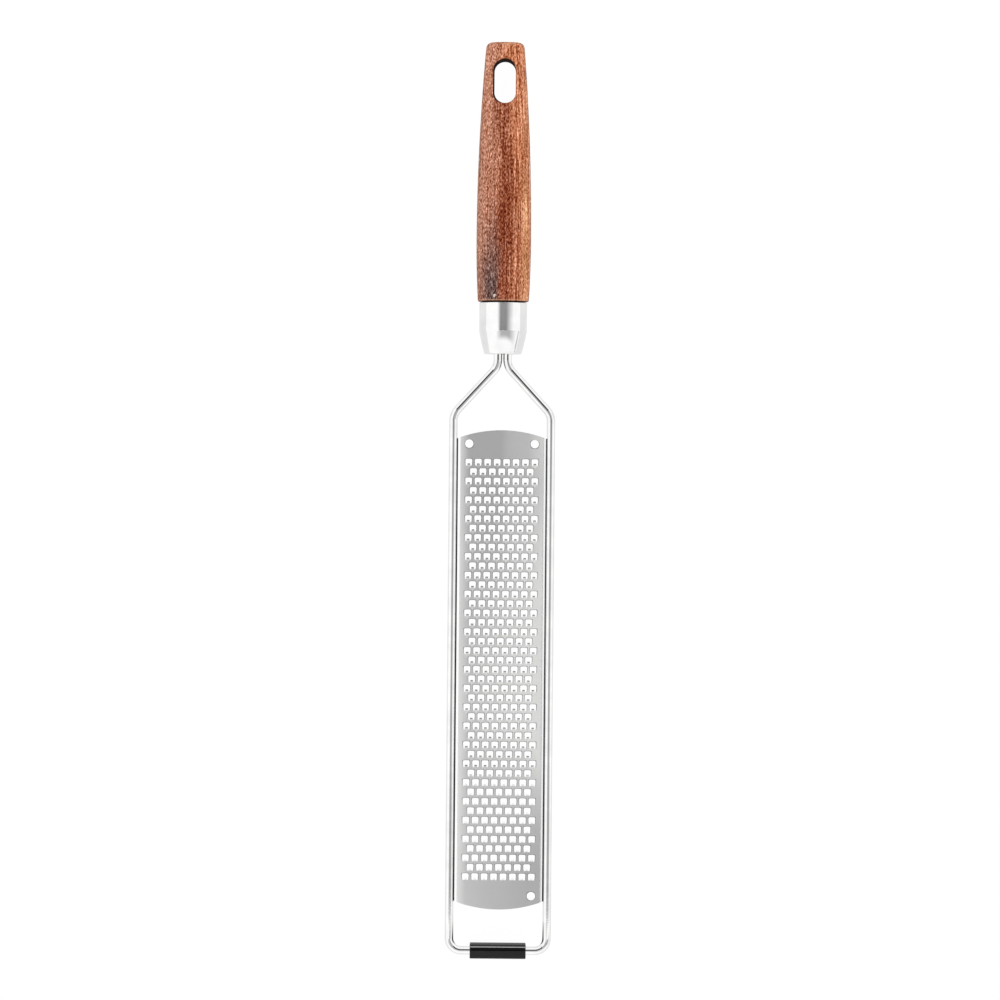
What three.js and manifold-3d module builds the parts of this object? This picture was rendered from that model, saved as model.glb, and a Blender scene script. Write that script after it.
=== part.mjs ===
// Long rasp grater: a toothed steel plate in a bent wire frame, with a wooden handle and a rubber foot.
// It lies flat on its handle and its foot. Millimetres: +X across, +Y towards the handle, +Z up from the teeth.
import * as THREE from 'three';
import { mergeGeometries, mergeVertices } from 'three/addons/utils/BufferGeometryUtils.js';
import Module from 'manifold-3d';

const wasm = await Module();
wasm.setup();

// Gap left between pieces that touch
const FIT_GAP = 0.3;

// Wire frame: one rod bent to a loop, its two ends side by side in the handle
const WIRE_DIAMETER = 3.2;
const RAIL_SPACING = 36.6;
const NECK_GAP = 0.44;
const NECK_LENGTH = 4.6;
const SHOULDER_LENGTH = 18.0;
const NECK_BEND_RADIUS = 7.0;
const SHOULDER_BEND_RADIUS = 6.5;
const TIP_BEND_RADIUS = 4.5;
const TANG_DEPTH = 38.0;
const WIRE_SIDES = 12;
const BEND_STEPS = 6;

// Grating plate: sheet with folded long edges and curved ends
const PLATE_LENGTH = 179.6;
const PLATE_END_RISE = 3.1;
const PLATE_EDGE_DEPTH = 3.6;
const PLATE_EDGE_RADIUS = 2.0;
const SHEET_THICKNESS = 0.5;
const UPPER_WINDOW = 5.9;
const LOWER_WINDOW = 15.5;
const PLATE_END_STEPS = 16;
const PLATE_EDGE_STEPS = 4;

// Teeth: staggered rows of openings, each with a small tongue bent up from its lower edge
const TOOTH_PITCH_ACROSS = 3.54;
const TOOTH_PITCH_ALONG = 3.53;
const FIELD_END_MARGIN = 11.9;
const FIELD_SIDE_MARGIN = 3.9;
const OPENING_WIDTH = 2.5;
const OPENING_LENGTH = 2.7;
const TOOTH_TIP_WIDTH = 1.0;
const TOOTH_REACH = 1.1;
const TOOTH_RISE = 0.7;

// Round locating holes in the plate's corners
const LOCATING_HOLE_DIAMETER = 3.2;
const LOCATING_HOLE_SPACING = 24.6;
const LOCATING_HOLE_END_MARGIN = 5.1;
const LOCATING_HOLE_SIDES = 16;

// Welds between the plate's folded edges and the rails
const WELDS_PER_SIDE = 4;
const WELD_END_MARGIN = 18.0;
const WELD_RADIUS = 0.8;
const WELD_LENGTH = 5.0;
const WELD_SIDES = 8;
const WELD_RINGS = 4;

// Ferrule: round sleeve, then a slightly bowed taper to a closed end
const FERRULE_DIAMETER = 17.9;
const FERRULE_SLEEVE_LENGTH = 10.8;
const FERRULE_TAPER_LENGTH = 8.6;
const FERRULE_END_DIAMETER = 13.9;
const FERRULE_TAPER_BULGE = 0.12;
const FERRULE_WALL = 1.0;
const FERRULE_END_WALL = 1.6;
const FERRULE_TAPER_STEPS = 4;

// Wooden handle: round at the joint, slightly oval at its belly and its top
const HANDLE_LENGTH = 97.1;
const HANDLE_JOINT_OVERHANG = 0.6;
const HANDLE_BELLY_FROM_JOINT = 23.0;
const HANDLE_BELLY_WIDTH = 20.5;
const HANDLE_BELLY_THICKNESS = 19.2;
const HANDLE_TOP_WIDTH = 14.1;
const HANDLE_TOP_THICKNESS = 12.4;
const HANDLE_TOP_ROUND = 2.6;
const HANDLE_JOINT_ROUND = 0.5;
const HANDLE_STEPS = 10;
const HANDLE_ROUND_STEPS = 3;
const HANDLE_SIDES = 32;
const TENON_END_GAP = 0.8;
const BORE_END_GAP = 1.0;
const ADHESIVE_WALL = 1.0;
const SLOT_WIDTH = 8.0;
const SLOT_LENGTH = 16.3;
const SLOT_FROM_TOP = 14.9;
const SLOT_STEPS = 10;

// Rubber foot: a block on the frame's end run, with its top edge eased on the plate's side
const FOOT_WIDTH = 21.0;
const FOOT_LENGTH = 5.3;
const FOOT_RISE = 3.0;
const FOOT_ROD_FROM_TIP = 2.9;
const FOOT_CHAMFER = 0.4;
const FOOT_TIP_ROUND = 0.6;
const FOOT_ROUND_STEPS = 3;

// Places along the grater, counted from the foot's tip face
const endRunFromTip = FOOT_ROD_FROM_TIP;
const plateLowFromTip = endRunFromTip + LOWER_WINDOW;
const plateHighFromTip = plateLowFromTip + PLATE_LENGTH;
const shoulderFromTip = plateHighFromTip + UPPER_WINDOW;
const neckFromTip = shoulderFromTip + SHOULDER_LENGTH;
const ferruleEndFromTip = neckFromTip + NECK_LENGTH;
const creaseFromTip = ferruleEndFromTip + FERRULE_TAPER_LENGTH;
const jointFromTip = creaseFromTip + FERRULE_SLEEVE_LENGTH + FIT_GAP;
const overallLength = jointFromTip + HANDLE_LENGTH;

// The same places in the part's frame, with the origin under the middle of the whole
const tipY = -overallLength / 2;
const endRunY = tipY + endRunFromTip;
const plateLowY = tipY + plateLowFromTip;
const plateHighY = tipY + plateHighFromTip;
const shoulderY = tipY + shoulderFromTip;
const neckY = tipY + neckFromTip;
const ferruleEndY = tipY + ferruleEndFromTip;
const creaseY = tipY + creaseFromTip;
const jointY = tipY + jointFromTip;

// Sizes that follow from the pieces' fits
const axisZ = HANDLE_BELLY_THICKNESS / 2;
const wireRadius = WIRE_DIAMETER / 2;
const railX = RAIL_SPACING / 2;
const neckX = wireRadius + NECK_GAP / 2;
const tangEndY = jointY + TANG_DEPTH;
const plateHalfWidth = railX - wireRadius - FIT_GAP;
const plateTopZ = axisZ + wireRadius;
const ferruleRadius = FERRULE_DIAMETER / 2;
const tenonRadius = ferruleRadius - FERRULE_WALL - FIT_GAP;
const tenonEndY = creaseY + TENON_END_GAP;
const tangHalfWidth = neckX + wireRadius + FIT_GAP;
const tangHalfHeight = wireRadius + FIT_GAP;
const boreRadius = tangHalfWidth + ADHESIVE_WALL + FIT_GAP;
const boreEndY = tangEndY + BORE_END_GAP;

// Merges a geometry's shared vertices and drops triangles that have no area.
function mergedTriangles(geometry) {
  geometry.deleteAttribute('normal');
  geometry.deleteAttribute('uv');
  const merged = mergeVertices(geometry, 1e-4);
  const index = merged.index.array;
  const kept = [];
  for (let i = 0; i < index.length; i += 3) {
    const [a, b, c] = index.slice(i, i + 3);
    if (a !== b && b !== c && c !== a) {
      kept.push(a, b, c);
    }
  }
  return { vertProperties: merged.attributes.position.array, triVerts: new Uint32Array(kept) };
}

// Closed geometry as a solid that can be joined and cut.
function toSolid(geometry) {
  return new wasm.Manifold(new wasm.Mesh({ numProp: 3, ...mergedTriangles(geometry) }));
}

// Solid back to a geometry.
function toGeometry(solid) {
  const { vertProperties, triVerts } = solid.getMesh();
  const geometry = new THREE.BufferGeometry();
  geometry.setAttribute('position', new THREE.BufferAttribute(vertProperties, 3));
  geometry.setIndex(new THREE.BufferAttribute(triVerts, 1));
  geometry.computeVertexNormals();
  return geometry;
}

// Points on an arc from one angle to another, both included.
function arc(centreU, centreV, radius, from, to, steps) {
  return Array.from({ length: steps + 1 }, (_, i) => {
    const angle = from + ((to - from) * i) / steps;
    return new THREE.Vector2(centreU + radius * Math.cos(angle), centreV + radius * Math.sin(angle));
  });
}

// Points on a full circle, each once.
function circle(centreU, centreV, radius, sides) {
  return arc(centreU, centreV, radius, 0, 2 * Math.PI, sides).slice(0, sides);
}

// Outline with straight sides along the first axis and half-round ends.
function obround(centreU, centreV, halfWidth, radius, steps) {
  const reach = halfWidth - radius;
  return [
    ...arc(centreU + reach, centreV, radius, -Math.PI / 2, Math.PI / 2, steps),
    ...arc(centreU - reach, centreV, radius, Math.PI / 2, (3 * Math.PI) / 2, steps),
  ];
}

// Prism of an XY outline that runs along Z.
function prismAlongZ(outline, from, to) {
  const options = { depth: to - from, bevelEnabled: false };
  return new THREE.ExtrudeGeometry(new THREE.Shape(outline), options).translate(0, 0, from);
}

// Prism of an XZ outline that runs along Y.
function prismAlongY(outline, from, to) {
  return prismAlongZ(outline, -to, -from).rotateX(Math.PI / 2);
}

// Prism of a YZ outline that runs along X.
function prismAlongX(outline, from, to) {
  const turn = new THREE.Matrix4().makeBasis(
    new THREE.Vector3(0, 1, 0),
    new THREE.Vector3(0, 0, 1),
    new THREE.Vector3(1, 0, 0),
  );
  return prismAlongZ(outline, from, to).applyMatrix4(turn);
}

// Bent line through a list of stations, with equal steps of its parameter on the stations themselves.
class StationPath extends THREE.Curve {
  constructor(stations) {
    super();
    this.stations = stations;
  }

  getPoint(t) {
    const last = this.stations.length - 1;
    const index = Math.min(Math.floor(t * last), last - 1);
    return this.stations[index].clone().lerp(this.stations[index + 1], t * last - index);
  }

  getUtoTmapping(u) {
    return u;
  }
}

// Stations of a polyline in the frame's plane, with each corner rounded by its own radius.
function roundedStations(corners) {
  const flat = corners.map(({ x, y }) => new THREE.Vector2(x, y));
  const stations = corners.flatMap(({ radius }, i) => {
    if (!radius) {
      return [flat[i]];
    }
    const back = flat[i - 1].clone().sub(flat[i]).normalize();
    const ahead = flat[i + 1].clone().sub(flat[i]).normalize();
    const halfAngle = Math.acos(back.dot(ahead)) / 2;
    const bisector = back.clone().add(ahead).normalize();
    const centre = flat[i].clone().addScaledVector(bisector, radius / Math.sin(halfAngle));
    const setback = radius / Math.tan(halfAngle);
    const start = flat[i].clone().addScaledVector(back, setback).sub(centre).angle();
    const turn = Math.sign(ahead.cross(back)) * (Math.PI - 2 * halfAngle);
    return arc(centre.x, centre.y, radius, start, start + turn, BEND_STEPS);
  });
  return stations.map(({ x, y }) => new THREE.Vector3(x, y, axisZ));
}

// Round rod swept along the frame's loop, from one tang end to the other.
function wireFrameGeometry() {
  const leftHalf = [
    { x: -neckX, y: tangEndY, radius: 0 },
    { x: -neckX, y: neckY, radius: NECK_BEND_RADIUS },
    { x: -railX, y: shoulderY, radius: SHOULDER_BEND_RADIUS },
    { x: -railX, y: endRunY, radius: TIP_BEND_RADIUS },
  ];
  const rightHalf = leftHalf.map(({ x, y, radius }) => ({ x: -x, y, radius })).reverse();
  const stations = roundedStations([...leftHalf, ...rightHalf]);
  const section = new THREE.Shape(circle(0, 0, wireRadius, WIRE_SIDES));
  return new THREE.ExtrudeGeometry(section, {
    steps: stations.length - 1,
    extrudePath: new StationPath(stations),
  });
}

// Places of the teeth's openings: full rows and rows of one fewer, shifted by half a pitch.
function toothPlaces() {
  const rows = Math.floor((PLATE_LENGTH - 2 * FIELD_END_MARGIN) / TOOTH_PITCH_ALONG) + 1;
  const columns = Math.floor((2 * (plateHalfWidth - FIELD_SIDE_MARGIN)) / TOOTH_PITCH_ACROSS) + 1;
  const middleY = (plateLowY + plateHighY) / 2;
  return Array.from({ length: rows }).flatMap((_, row) => {
    const count = columns - (row % 2);
    const y = middleY + (row - (rows - 1) / 2) * TOOTH_PITCH_ALONG;
    return Array.from({ length: count }, (__, column) => ({
      x: (column - (count - 1) / 2) * TOOTH_PITCH_ACROSS,
      y,
    }));
  });
}

// Folded sheet as a channel section: a flat web, two round folds and two short sides.
function channelOutline() {
  const sideZ = plateTopZ - PLATE_EDGE_DEPTH;
  const foldX = plateHalfWidth - PLATE_EDGE_RADIUS;
  const foldZ = plateTopZ - PLATE_EDGE_RADIUS;
  const innerRadius = PLATE_EDGE_RADIUS - SHEET_THICKNESS;
  const quarter = Math.PI / 2;
  return [
    new THREE.Vector2(plateHalfWidth, sideZ),
    ...arc(foldX, foldZ, PLATE_EDGE_RADIUS, 0, quarter, PLATE_EDGE_STEPS),
    ...arc(-foldX, foldZ, PLATE_EDGE_RADIUS, quarter, Math.PI, PLATE_EDGE_STEPS),
    new THREE.Vector2(-plateHalfWidth, sideZ),
    new THREE.Vector2(-plateHalfWidth + SHEET_THICKNESS, sideZ),
    ...arc(-foldX, foldZ, innerRadius, Math.PI, quarter, PLATE_EDGE_STEPS),
    ...arc(foldX, foldZ, innerRadius, quarter, 0, PLATE_EDGE_STEPS),
    new THREE.Vector2(plateHalfWidth - SHEET_THICKNESS, sideZ),
  ];
}

// Plan that trims the sheet's ends: two arcs that bow outwards, and sides just clear of the sheet.
function platePlan() {
  const radius = (plateHalfWidth ** 2 + PLATE_END_RISE ** 2) / (2 * PLATE_END_RISE);
  const spread = Math.asin((plateHalfWidth + FIT_GAP) / radius);
  const quarter = Math.PI / 2;
  return [
    ...arc(0, plateHighY - radius, radius, quarter - spread, quarter + spread, PLATE_END_STEPS),
    ...arc(0, plateLowY + radius, radius, -quarter - spread, -quarter + spread, PLATE_END_STEPS),
  ];
}

// Plan of one tooth's opening.
function openingOutline(x, y) {
  return [
    new THREE.Vector2(x - OPENING_WIDTH / 2, y - OPENING_LENGTH / 2),
    new THREE.Vector2(x + OPENING_WIDTH / 2, y - OPENING_LENGTH / 2),
    new THREE.Vector2(x + OPENING_WIDTH / 2, y + OPENING_LENGTH / 2),
    new THREE.Vector2(x - OPENING_WIDTH / 2, y + OPENING_LENGTH / 2),
  ];
}

// Tongue of one tooth: it leaves the whole lower wall of its opening and rises to a narrow sharp edge.
function toothTongue(x, y) {
  const rootY = y - OPENING_LENGTH / 2;
  const tongueTipY = rootY + TOOTH_REACH;
  const outline = [
    new THREE.Vector2(x - OPENING_WIDTH / 2, rootY),
    new THREE.Vector2(x + OPENING_WIDTH / 2, rootY),
    new THREE.Vector2(x + TOOTH_TIP_WIDTH / 2, tongueTipY),
    new THREE.Vector2(x - TOOTH_TIP_WIDTH / 2, tongueTipY),
  ];
  const tongue = prismAlongZ(outline, plateTopZ - SHEET_THICKNESS, plateTopZ);
  const position = tongue.attributes.position;
  for (let i = 0; i < position.count; i += 1) {
    if (position.getY(i) > y - OPENING_LENGTH / 2 + TOOTH_REACH / 2) {
      position.setZ(i, plateTopZ + TOOTH_RISE);
    }
  }
  return tongue;
}

// Toothed plate: folded sheet cut to its plan, pierced by the openings and holes, with the tongues joined on.
function gratingPlateGeometry() {
  const lowZ = plateTopZ - PLATE_EDGE_DEPTH - FIT_GAP;
  const highZ = plateTopZ + FIT_GAP;
  const places = toothPlaces();
  const openings = places.map(({ x, y }) => prismAlongZ(openingOutline(x, y), lowZ, highZ));
  const tongues = places.map(({ x, y }) => toothTongue(x, y));
  const holeX = LOCATING_HOLE_SPACING / 2;
  const holes = [
    [-holeX, plateHighY - LOCATING_HOLE_END_MARGIN],
    [holeX, plateHighY - LOCATING_HOLE_END_MARGIN],
    [holeX, plateLowY + LOCATING_HOLE_END_MARGIN],
  ].map(([x, y]) => (
    prismAlongZ(circle(x, y, LOCATING_HOLE_DIAMETER / 2, LOCATING_HOLE_SIDES), lowZ, highZ)
  ));
  const pierced = toSolid(prismAlongY(channelOutline(), plateLowY - FIT_GAP, plateHighY + FIT_GAP))
    .subtract(toSolid(mergeGeometries([...openings, ...holes])));
  const trimmed = pierced.intersect(toSolid(prismAlongZ(platePlan(), lowZ, highZ)));
  return toGeometry(trimmed.add(toSolid(mergeGeometries(tongues))));
}

// Weld under a folded edge: a long bead trimmed clear of the sheet's side and of the rail.
function weldGeometry(side, y) {
  const sheetX = plateHalfWidth + FIT_GAP;
  const beadX = sheetX + WELD_RADIUS / 2;
  const beadZ = axisZ - wireRadius - FIT_GAP;
  const bead = new THREE.SphereGeometry(WELD_RADIUS, WELD_SIDES, WELD_RINGS)
    .scale(1, WELD_LENGTH / (2 * WELD_RADIUS), 1)
    .translate(beadX, y, beadZ);
  const rail = prismAlongY(circle(railX, axisZ, wireRadius + FIT_GAP, WIRE_SIDES), y - WELD_LENGTH, y + WELD_LENGTH);
  const sheet = new THREE.BoxGeometry(WELD_RADIUS * 2, WELD_LENGTH * 2, WELD_RADIUS * 4)
    .translate(sheetX - WELD_RADIUS, y, beadZ);
  const trimmed = toGeometry(toSolid(bead).subtract(toSolid(rail)).subtract(toSolid(sheet)));
  return side < 0 ? trimmed.rotateZ(Math.PI).translate(0, 2 * y, 0) : trimmed;
}

// Radius of the ferrule's taper, from its closed end (0) to the crease (1), bowed out a little.
function taperRadius(share, endRadius, creaseRadius) {
  const straight = endRadius + (creaseRadius - endRadius) * share;
  return straight + FERRULE_TAPER_BULGE * 4 * share * (1 - share);
}

// Turned sleeve, open at the handle and closed at the frame, with one opening for both wires.
function ferruleGeometry() {
  const endRadius = FERRULE_END_DIAMETER / 2;
  const floorShare = FERRULE_END_WALL / FERRULE_TAPER_LENGTH;
  const outer = [];
  const inner = [];
  for (let i = 0; i <= FERRULE_TAPER_STEPS; i += 1) {
    const outerShare = i / FERRULE_TAPER_STEPS;
    const innerShare = floorShare + (1 - floorShare) * outerShare;
    const outerRadius = taperRadius(outerShare, endRadius, ferruleRadius);
    const innerRadius = taperRadius(innerShare, endRadius, ferruleRadius) - FERRULE_WALL;
    outer.push(new THREE.Vector2(outerRadius, ferruleEndY + outerShare * FERRULE_TAPER_LENGTH));
    inner.unshift(new THREE.Vector2(innerRadius, ferruleEndY + innerShare * FERRULE_TAPER_LENGTH));
  }
  const mouthY = creaseY + FERRULE_SLEEVE_LENGTH;
  const profile = [
    new THREE.Vector2(0, ferruleEndY),
    ...outer,
    new THREE.Vector2(ferruleRadius, mouthY),
    new THREE.Vector2(ferruleRadius - FERRULE_WALL, mouthY),
    ...inner,
    new THREE.Vector2(0, ferruleEndY + FERRULE_END_WALL),
  ];
  const sleeve = new THREE.LatheGeometry(profile, HANDLE_SIDES).translate(0, 0, axisZ);
  return toGeometry(toSolid(sleeve).subtract(toSolid(tangPassage(ferruleEndY - FIT_GAP, creaseY))));
}

// Obround space that the two wires run through, with the fit's gap round them.
function tangPassage(fromY, toY) {
  return prismAlongY(obround(0, axisZ, tangHalfWidth, tangHalfHeight, SLOT_STEPS), fromY, toY);
}

// Width or thickness of the handle at a distance from the joint: a parabola on each side of the belly.
function handleSpan(along, joint, belly, top) {
  const beforeBelly = along < HANDLE_BELLY_FROM_JOINT;
  const end = beforeBelly ? joint : top;
  const reach = beforeBelly ? HANDLE_BELLY_FROM_JOINT : HANDLE_LENGTH - HANDLE_BELLY_FROM_JOINT;
  return belly - (belly - end) * ((along - HANDLE_BELLY_FROM_JOINT) / reach) ** 2;
}

// How far the handle's rounded end edges draw its side in at a distance from the joint.
function handleInset(along) {
  const fromJoint = Math.max(HANDLE_JOINT_ROUND - along, 0);
  const fromTop = Math.max(along - (HANDLE_LENGTH - HANDLE_TOP_ROUND), 0);
  const jointInset = HANDLE_JOINT_ROUND - Math.sqrt(HANDLE_JOINT_ROUND ** 2 - fromJoint ** 2);
  const topInset = HANDLE_TOP_ROUND - Math.sqrt(HANDLE_TOP_ROUND ** 2 - fromTop ** 2);
  return jointInset + topInset;
}

// Distances from the joint at which the handle has a ring: close together where its end edges are round.
function handleStations() {
  const bodyLength = HANDLE_LENGTH - HANDLE_JOINT_ROUND - HANDLE_TOP_ROUND;
  const stations = [];
  for (let i = 0; i < HANDLE_ROUND_STEPS; i += 1) {
    const angle = (i / HANDLE_ROUND_STEPS) * (Math.PI / 2);
    stations.push(HANDLE_JOINT_ROUND * (1 - Math.cos(angle)));
  }
  for (let i = 0; i < HANDLE_STEPS; i += 1) {
    stations.push(HANDLE_JOINT_ROUND + (bodyLength * i) / HANDLE_STEPS);
  }
  for (let i = 0; i <= HANDLE_ROUND_STEPS; i += 1) {
    const angle = (i / HANDLE_ROUND_STEPS) * (Math.PI / 2);
    stations.push(HANDLE_LENGTH - HANDLE_TOP_ROUND * (1 - Math.sin(angle)));
  }
  return stations;
}

// Turned body whose rings go from round at the joint to oval at the top.
function handleBody() {
  const jointDiameter = FERRULE_DIAMETER + 2 * HANDLE_JOINT_OVERHANG;
  const rings = handleStations().map((along) => {
    const width = handleSpan(along, jointDiameter, HANDLE_BELLY_WIDTH, HANDLE_TOP_WIDTH);
    const thickness = handleSpan(along, jointDiameter, HANDLE_BELLY_THICKNESS, HANDLE_TOP_THICKNESS);
    const inset = handleInset(along);
    return { along, halfWidth: width / 2 - inset, halfThickness: thickness / 2 - inset };
  });
  const profile = [
    new THREE.Vector2(0, jointY),
    ...rings.map(({ along, halfWidth }) => new THREE.Vector2(halfWidth, jointY + along)),
    new THREE.Vector2(0, jointY + HANDLE_LENGTH),
  ];
  const body = new THREE.LatheGeometry(profile, HANDLE_SIDES);
  const position = body.attributes.position;
  for (let i = 0; i < position.count; i += 1) {
    const ring = rings[(i % profile.length) - 1];
    if (ring) {
      position.setZ(i, (position.getZ(i) * ring.halfThickness) / ring.halfWidth);
    }
  }
  return body.translate(0, 0, axisZ);
}

// Handle: body and tenon joined, then the bore for the tang and the hanging slot cut.
function handleGeometry() {
  const tenon = prismAlongY(circle(0, axisZ, tenonRadius, HANDLE_SIDES), tenonEndY, jointY + FIT_GAP);
  const bore = prismAlongY(circle(0, axisZ, boreRadius, HANDLE_SIDES), tenonEndY - FIT_GAP, boreEndY);
  const slotY = jointY + HANDLE_LENGTH - SLOT_FROM_TOP;
  const slotOutline = obround(slotY, 0, SLOT_LENGTH / 2, SLOT_WIDTH / 2, SLOT_STEPS)
    .map(({ x, y }) => new THREE.Vector2(-y, x));
  const slot = prismAlongZ(slotOutline, -FIT_GAP, 2 * axisZ + FIT_GAP);
  return toGeometry(
    toSolid(handleBody()).add(toSolid(tenon)).subtract(toSolid(bore)).subtract(toSolid(slot)),
  );
}

// Hardened adhesive that fills the bore round the two wire ends.
function adhesiveGeometry() {
  const outline = circle(0, axisZ, boreRadius - FIT_GAP, HANDLE_SIDES);
  const plug = prismAlongY(outline, tenonEndY, tangEndY);
  return toGeometry(toSolid(plug).subtract(toSolid(tangPassage(tenonEndY - FIT_GAP, tangEndY + FIT_GAP))));
}

// Foot: a block down to the table, with the frame's end run through it.
function footGeometry() {
  const innerY = tipY + FOOT_LENGTH;
  const topZ = axisZ + FOOT_RISE;
  const outline = [
    new THREE.Vector2(tipY, 0),
    new THREE.Vector2(innerY, 0),
    new THREE.Vector2(innerY, topZ - FOOT_CHAMFER),
    new THREE.Vector2(innerY - FOOT_CHAMFER, topZ),
    ...arc(tipY + FOOT_TIP_ROUND, topZ - FOOT_TIP_ROUND, FOOT_TIP_ROUND, Math.PI / 2, Math.PI, FOOT_ROUND_STEPS),
  ];
  const block = prismAlongX(outline, -FOOT_WIDTH / 2, FOOT_WIDTH / 2);
  const passage = circle(endRunY, axisZ, wireRadius + FIT_GAP, WIRE_SIDES);
  const run = prismAlongX(passage, -FOOT_WIDTH, FOOT_WIDTH);
  return toGeometry(toSolid(block).subtract(toSolid(run)));
}

const finish = {
  wood: { color: 0x955433, roughness: 0.55, metalness: 0 },
  polishedSteel: { color: 0xd8d8d8, roughness: 0.15, metalness: 1 },
  plateSteel: { color: 0xb4b4b4, roughness: 0.35, metalness: 1 },
  weldSteel: { color: 0x8c8a88, roughness: 0.6, metalness: 1 },
  adhesive: { color: 0xc9b98a, roughness: 0.7, metalness: 0 },
  rubber: { color: 0x1c1c1c, roughness: 0.8, metalness: 0 },
};

const grater = new THREE.Group();

function addPiece(name, geometry, look) {
  const piece = new THREE.Mesh(geometry, new THREE.MeshStandardMaterial(look));
  piece.name = name;
  grater.add(piece);
}

addPiece('wooden_handle', handleGeometry(), finish.wood);
addPiece('ferrule', ferruleGeometry(), finish.polishedSteel);
addPiece('tang_adhesive', adhesiveGeometry(), finish.adhesive);
addPiece('wire_frame', wireFrameGeometry(), finish.polishedSteel);
addPiece('grating_plate', gratingPlateGeometry(), finish.plateSteel);
addPiece('rubber_foot', footGeometry(), finish.rubber);

const weldSpan = PLATE_LENGTH - 2 * WELD_END_MARGIN;
for (let i = 0; i < WELDS_PER_SIDE; i += 1) {
  const weldY = plateLowY + WELD_END_MARGIN + (weldSpan * i) / (WELDS_PER_SIDE - 1);
  addPiece(`weld_left_${i + 1}`, weldGeometry(-1, weldY), finish.weldSteel);
  addPiece(`weld_right_${i + 1}`, weldGeometry(1, weldY), finish.weldSteel);
}

export default grater;
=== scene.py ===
import math
from functools import partialmethod

import bpy
import numpy as np
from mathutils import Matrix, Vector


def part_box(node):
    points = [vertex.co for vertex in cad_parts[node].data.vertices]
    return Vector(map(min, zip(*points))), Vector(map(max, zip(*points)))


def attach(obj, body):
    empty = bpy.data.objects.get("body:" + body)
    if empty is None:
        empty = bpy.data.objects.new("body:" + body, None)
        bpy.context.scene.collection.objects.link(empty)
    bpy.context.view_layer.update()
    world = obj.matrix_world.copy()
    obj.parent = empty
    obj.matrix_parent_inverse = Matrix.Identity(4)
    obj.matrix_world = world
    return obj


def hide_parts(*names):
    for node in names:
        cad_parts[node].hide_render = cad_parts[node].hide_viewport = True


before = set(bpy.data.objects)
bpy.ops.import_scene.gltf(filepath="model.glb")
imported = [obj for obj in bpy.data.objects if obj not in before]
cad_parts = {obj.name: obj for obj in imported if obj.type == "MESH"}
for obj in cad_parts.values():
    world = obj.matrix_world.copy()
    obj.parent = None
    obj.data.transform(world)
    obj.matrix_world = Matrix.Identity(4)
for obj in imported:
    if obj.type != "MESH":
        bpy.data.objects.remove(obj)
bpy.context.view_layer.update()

# Long rasp grater: wooden handle, polished ferrule and rod, toothed sheet, welds and a rubber foot.
# Shapes are worked out in millimetres in the frame's axes: +X across, +Y to the handle, +Z the way the teeth face.
MM = 0.001


def box_mm(node):
    """Lowest and highest corner of a CAD node's box in millimetres."""
    low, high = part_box(node)
    return np.array(low) / MM, np.array(high) / MM


handle_low, handle_high = box_mm("wooden_handle")
ferrule_low, ferrule_high = box_mm("ferrule")
_, adhesive_high = box_mm("tang_adhesive")
rod_low, rod_high = box_mm("wire_frame")
plate_low, plate_high = box_mm("grating_plate")
foot_low, foot_high = box_mm("rubber_foot")

# Gap that the fitted pieces keep
FIT_GAP = 0.3

# Rod
ROD_RADIUS = 1.6
RAIL_X = rod_high[0] - ROD_RADIUS
NECK_GAP = 0.44
NECK_X = ROD_RADIUS + NECK_GAP / 2
NECK_LENGTH = 4.6
SHOULDER_LENGTH = 18
NECK_BEND = 7
SHOULDER_BEND = 6.5
TIP_BEND = 4.5

# Places along the grater
END_RUN_Y = rod_low[1] + ROD_RADIUS
FERRULE_END_Y = ferrule_low[1]
NECK_Y = FERRULE_END_Y - NECK_LENGTH
SHOULDER_Y = NECK_Y - SHOULDER_LENGTH
MOUTH_Y = ferrule_high[1]
JOINT_Y = MOUTH_Y + FIT_GAP
HANDLE_TOP_Y = handle_high[1]
TANG_END_Y = rod_high[1]

# Handle
AXIS_Z = (handle_low[2] + handle_high[2]) / 2
HANDLE_LENGTH = HANDLE_TOP_Y - JOINT_Y
BELLY_WIDTH = handle_high[0] - handle_low[0]
BELLY_THICKNESS = handle_high[2] - handle_low[2]
JOINT_SPAN = 19.1
BELLY_FROM_JOINT = 23
TOP_WIDTH = 14.1
TOP_THICKNESS = 12.4
TOP_ROUND = 2
JOINT_ROUND = 0.5
TENON_RADIUS = 7.65
TENON_END_Y = handle_low[1]
BORE_RADIUS = adhesive_high[0] + FIT_GAP
BORE_END_Y = TANG_END_Y + 1
SLOT_Y = HANDLE_TOP_Y - 14.9
SLOT_RADIUS = 4
SLOT_HALF_SPINE = 4.15
SLOT_RIM = 0.5

# Ferrule
FERRULE_RADIUS = ferrule_high[0]
FERRULE_END_RADIUS = 6.95
FERRULE_BULGE = 0.12
FERRULE_WALL = 1
FERRULE_FLOOR = 1.6
FERRULE_END_ROUND = 0.6
FERRULE_MOUTH_ROUND = 0.35
CREASE_Y = MOUTH_Y - 10.8
PASSAGE_RADIUS = ROD_RADIUS + FIT_GAP

# Toothed sheet
SHEET_TOP_Z = AXIS_Z + ROD_RADIUS
SHEET_THICKNESS = 0.5
SHEET_HALF_WIDTH = 16.75
SHEET_END_RISE = 3.1
SHEET_LOW_Y, SHEET_HIGH_Y = plate_low[1], plate_high[1]
SHEET_MIDDLE_Y = (SHEET_LOW_Y + SHEET_HIGH_Y) / 2
PITCH_ACROSS = 3.54
PITCH_ALONG = 3.53
TOOTH_ROWS = 45
TOOTH_COLUMNS = 8
FIELD_X = TOOTH_COLUMNS * PITCH_ACROSS / 2
FIELD_Y = TOOTH_ROWS * PITCH_ALONG / 2
HOLE_RADIUS = 1.6
HOLE_X = 12.3
HOLE_FROM_END = 5.1

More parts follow.
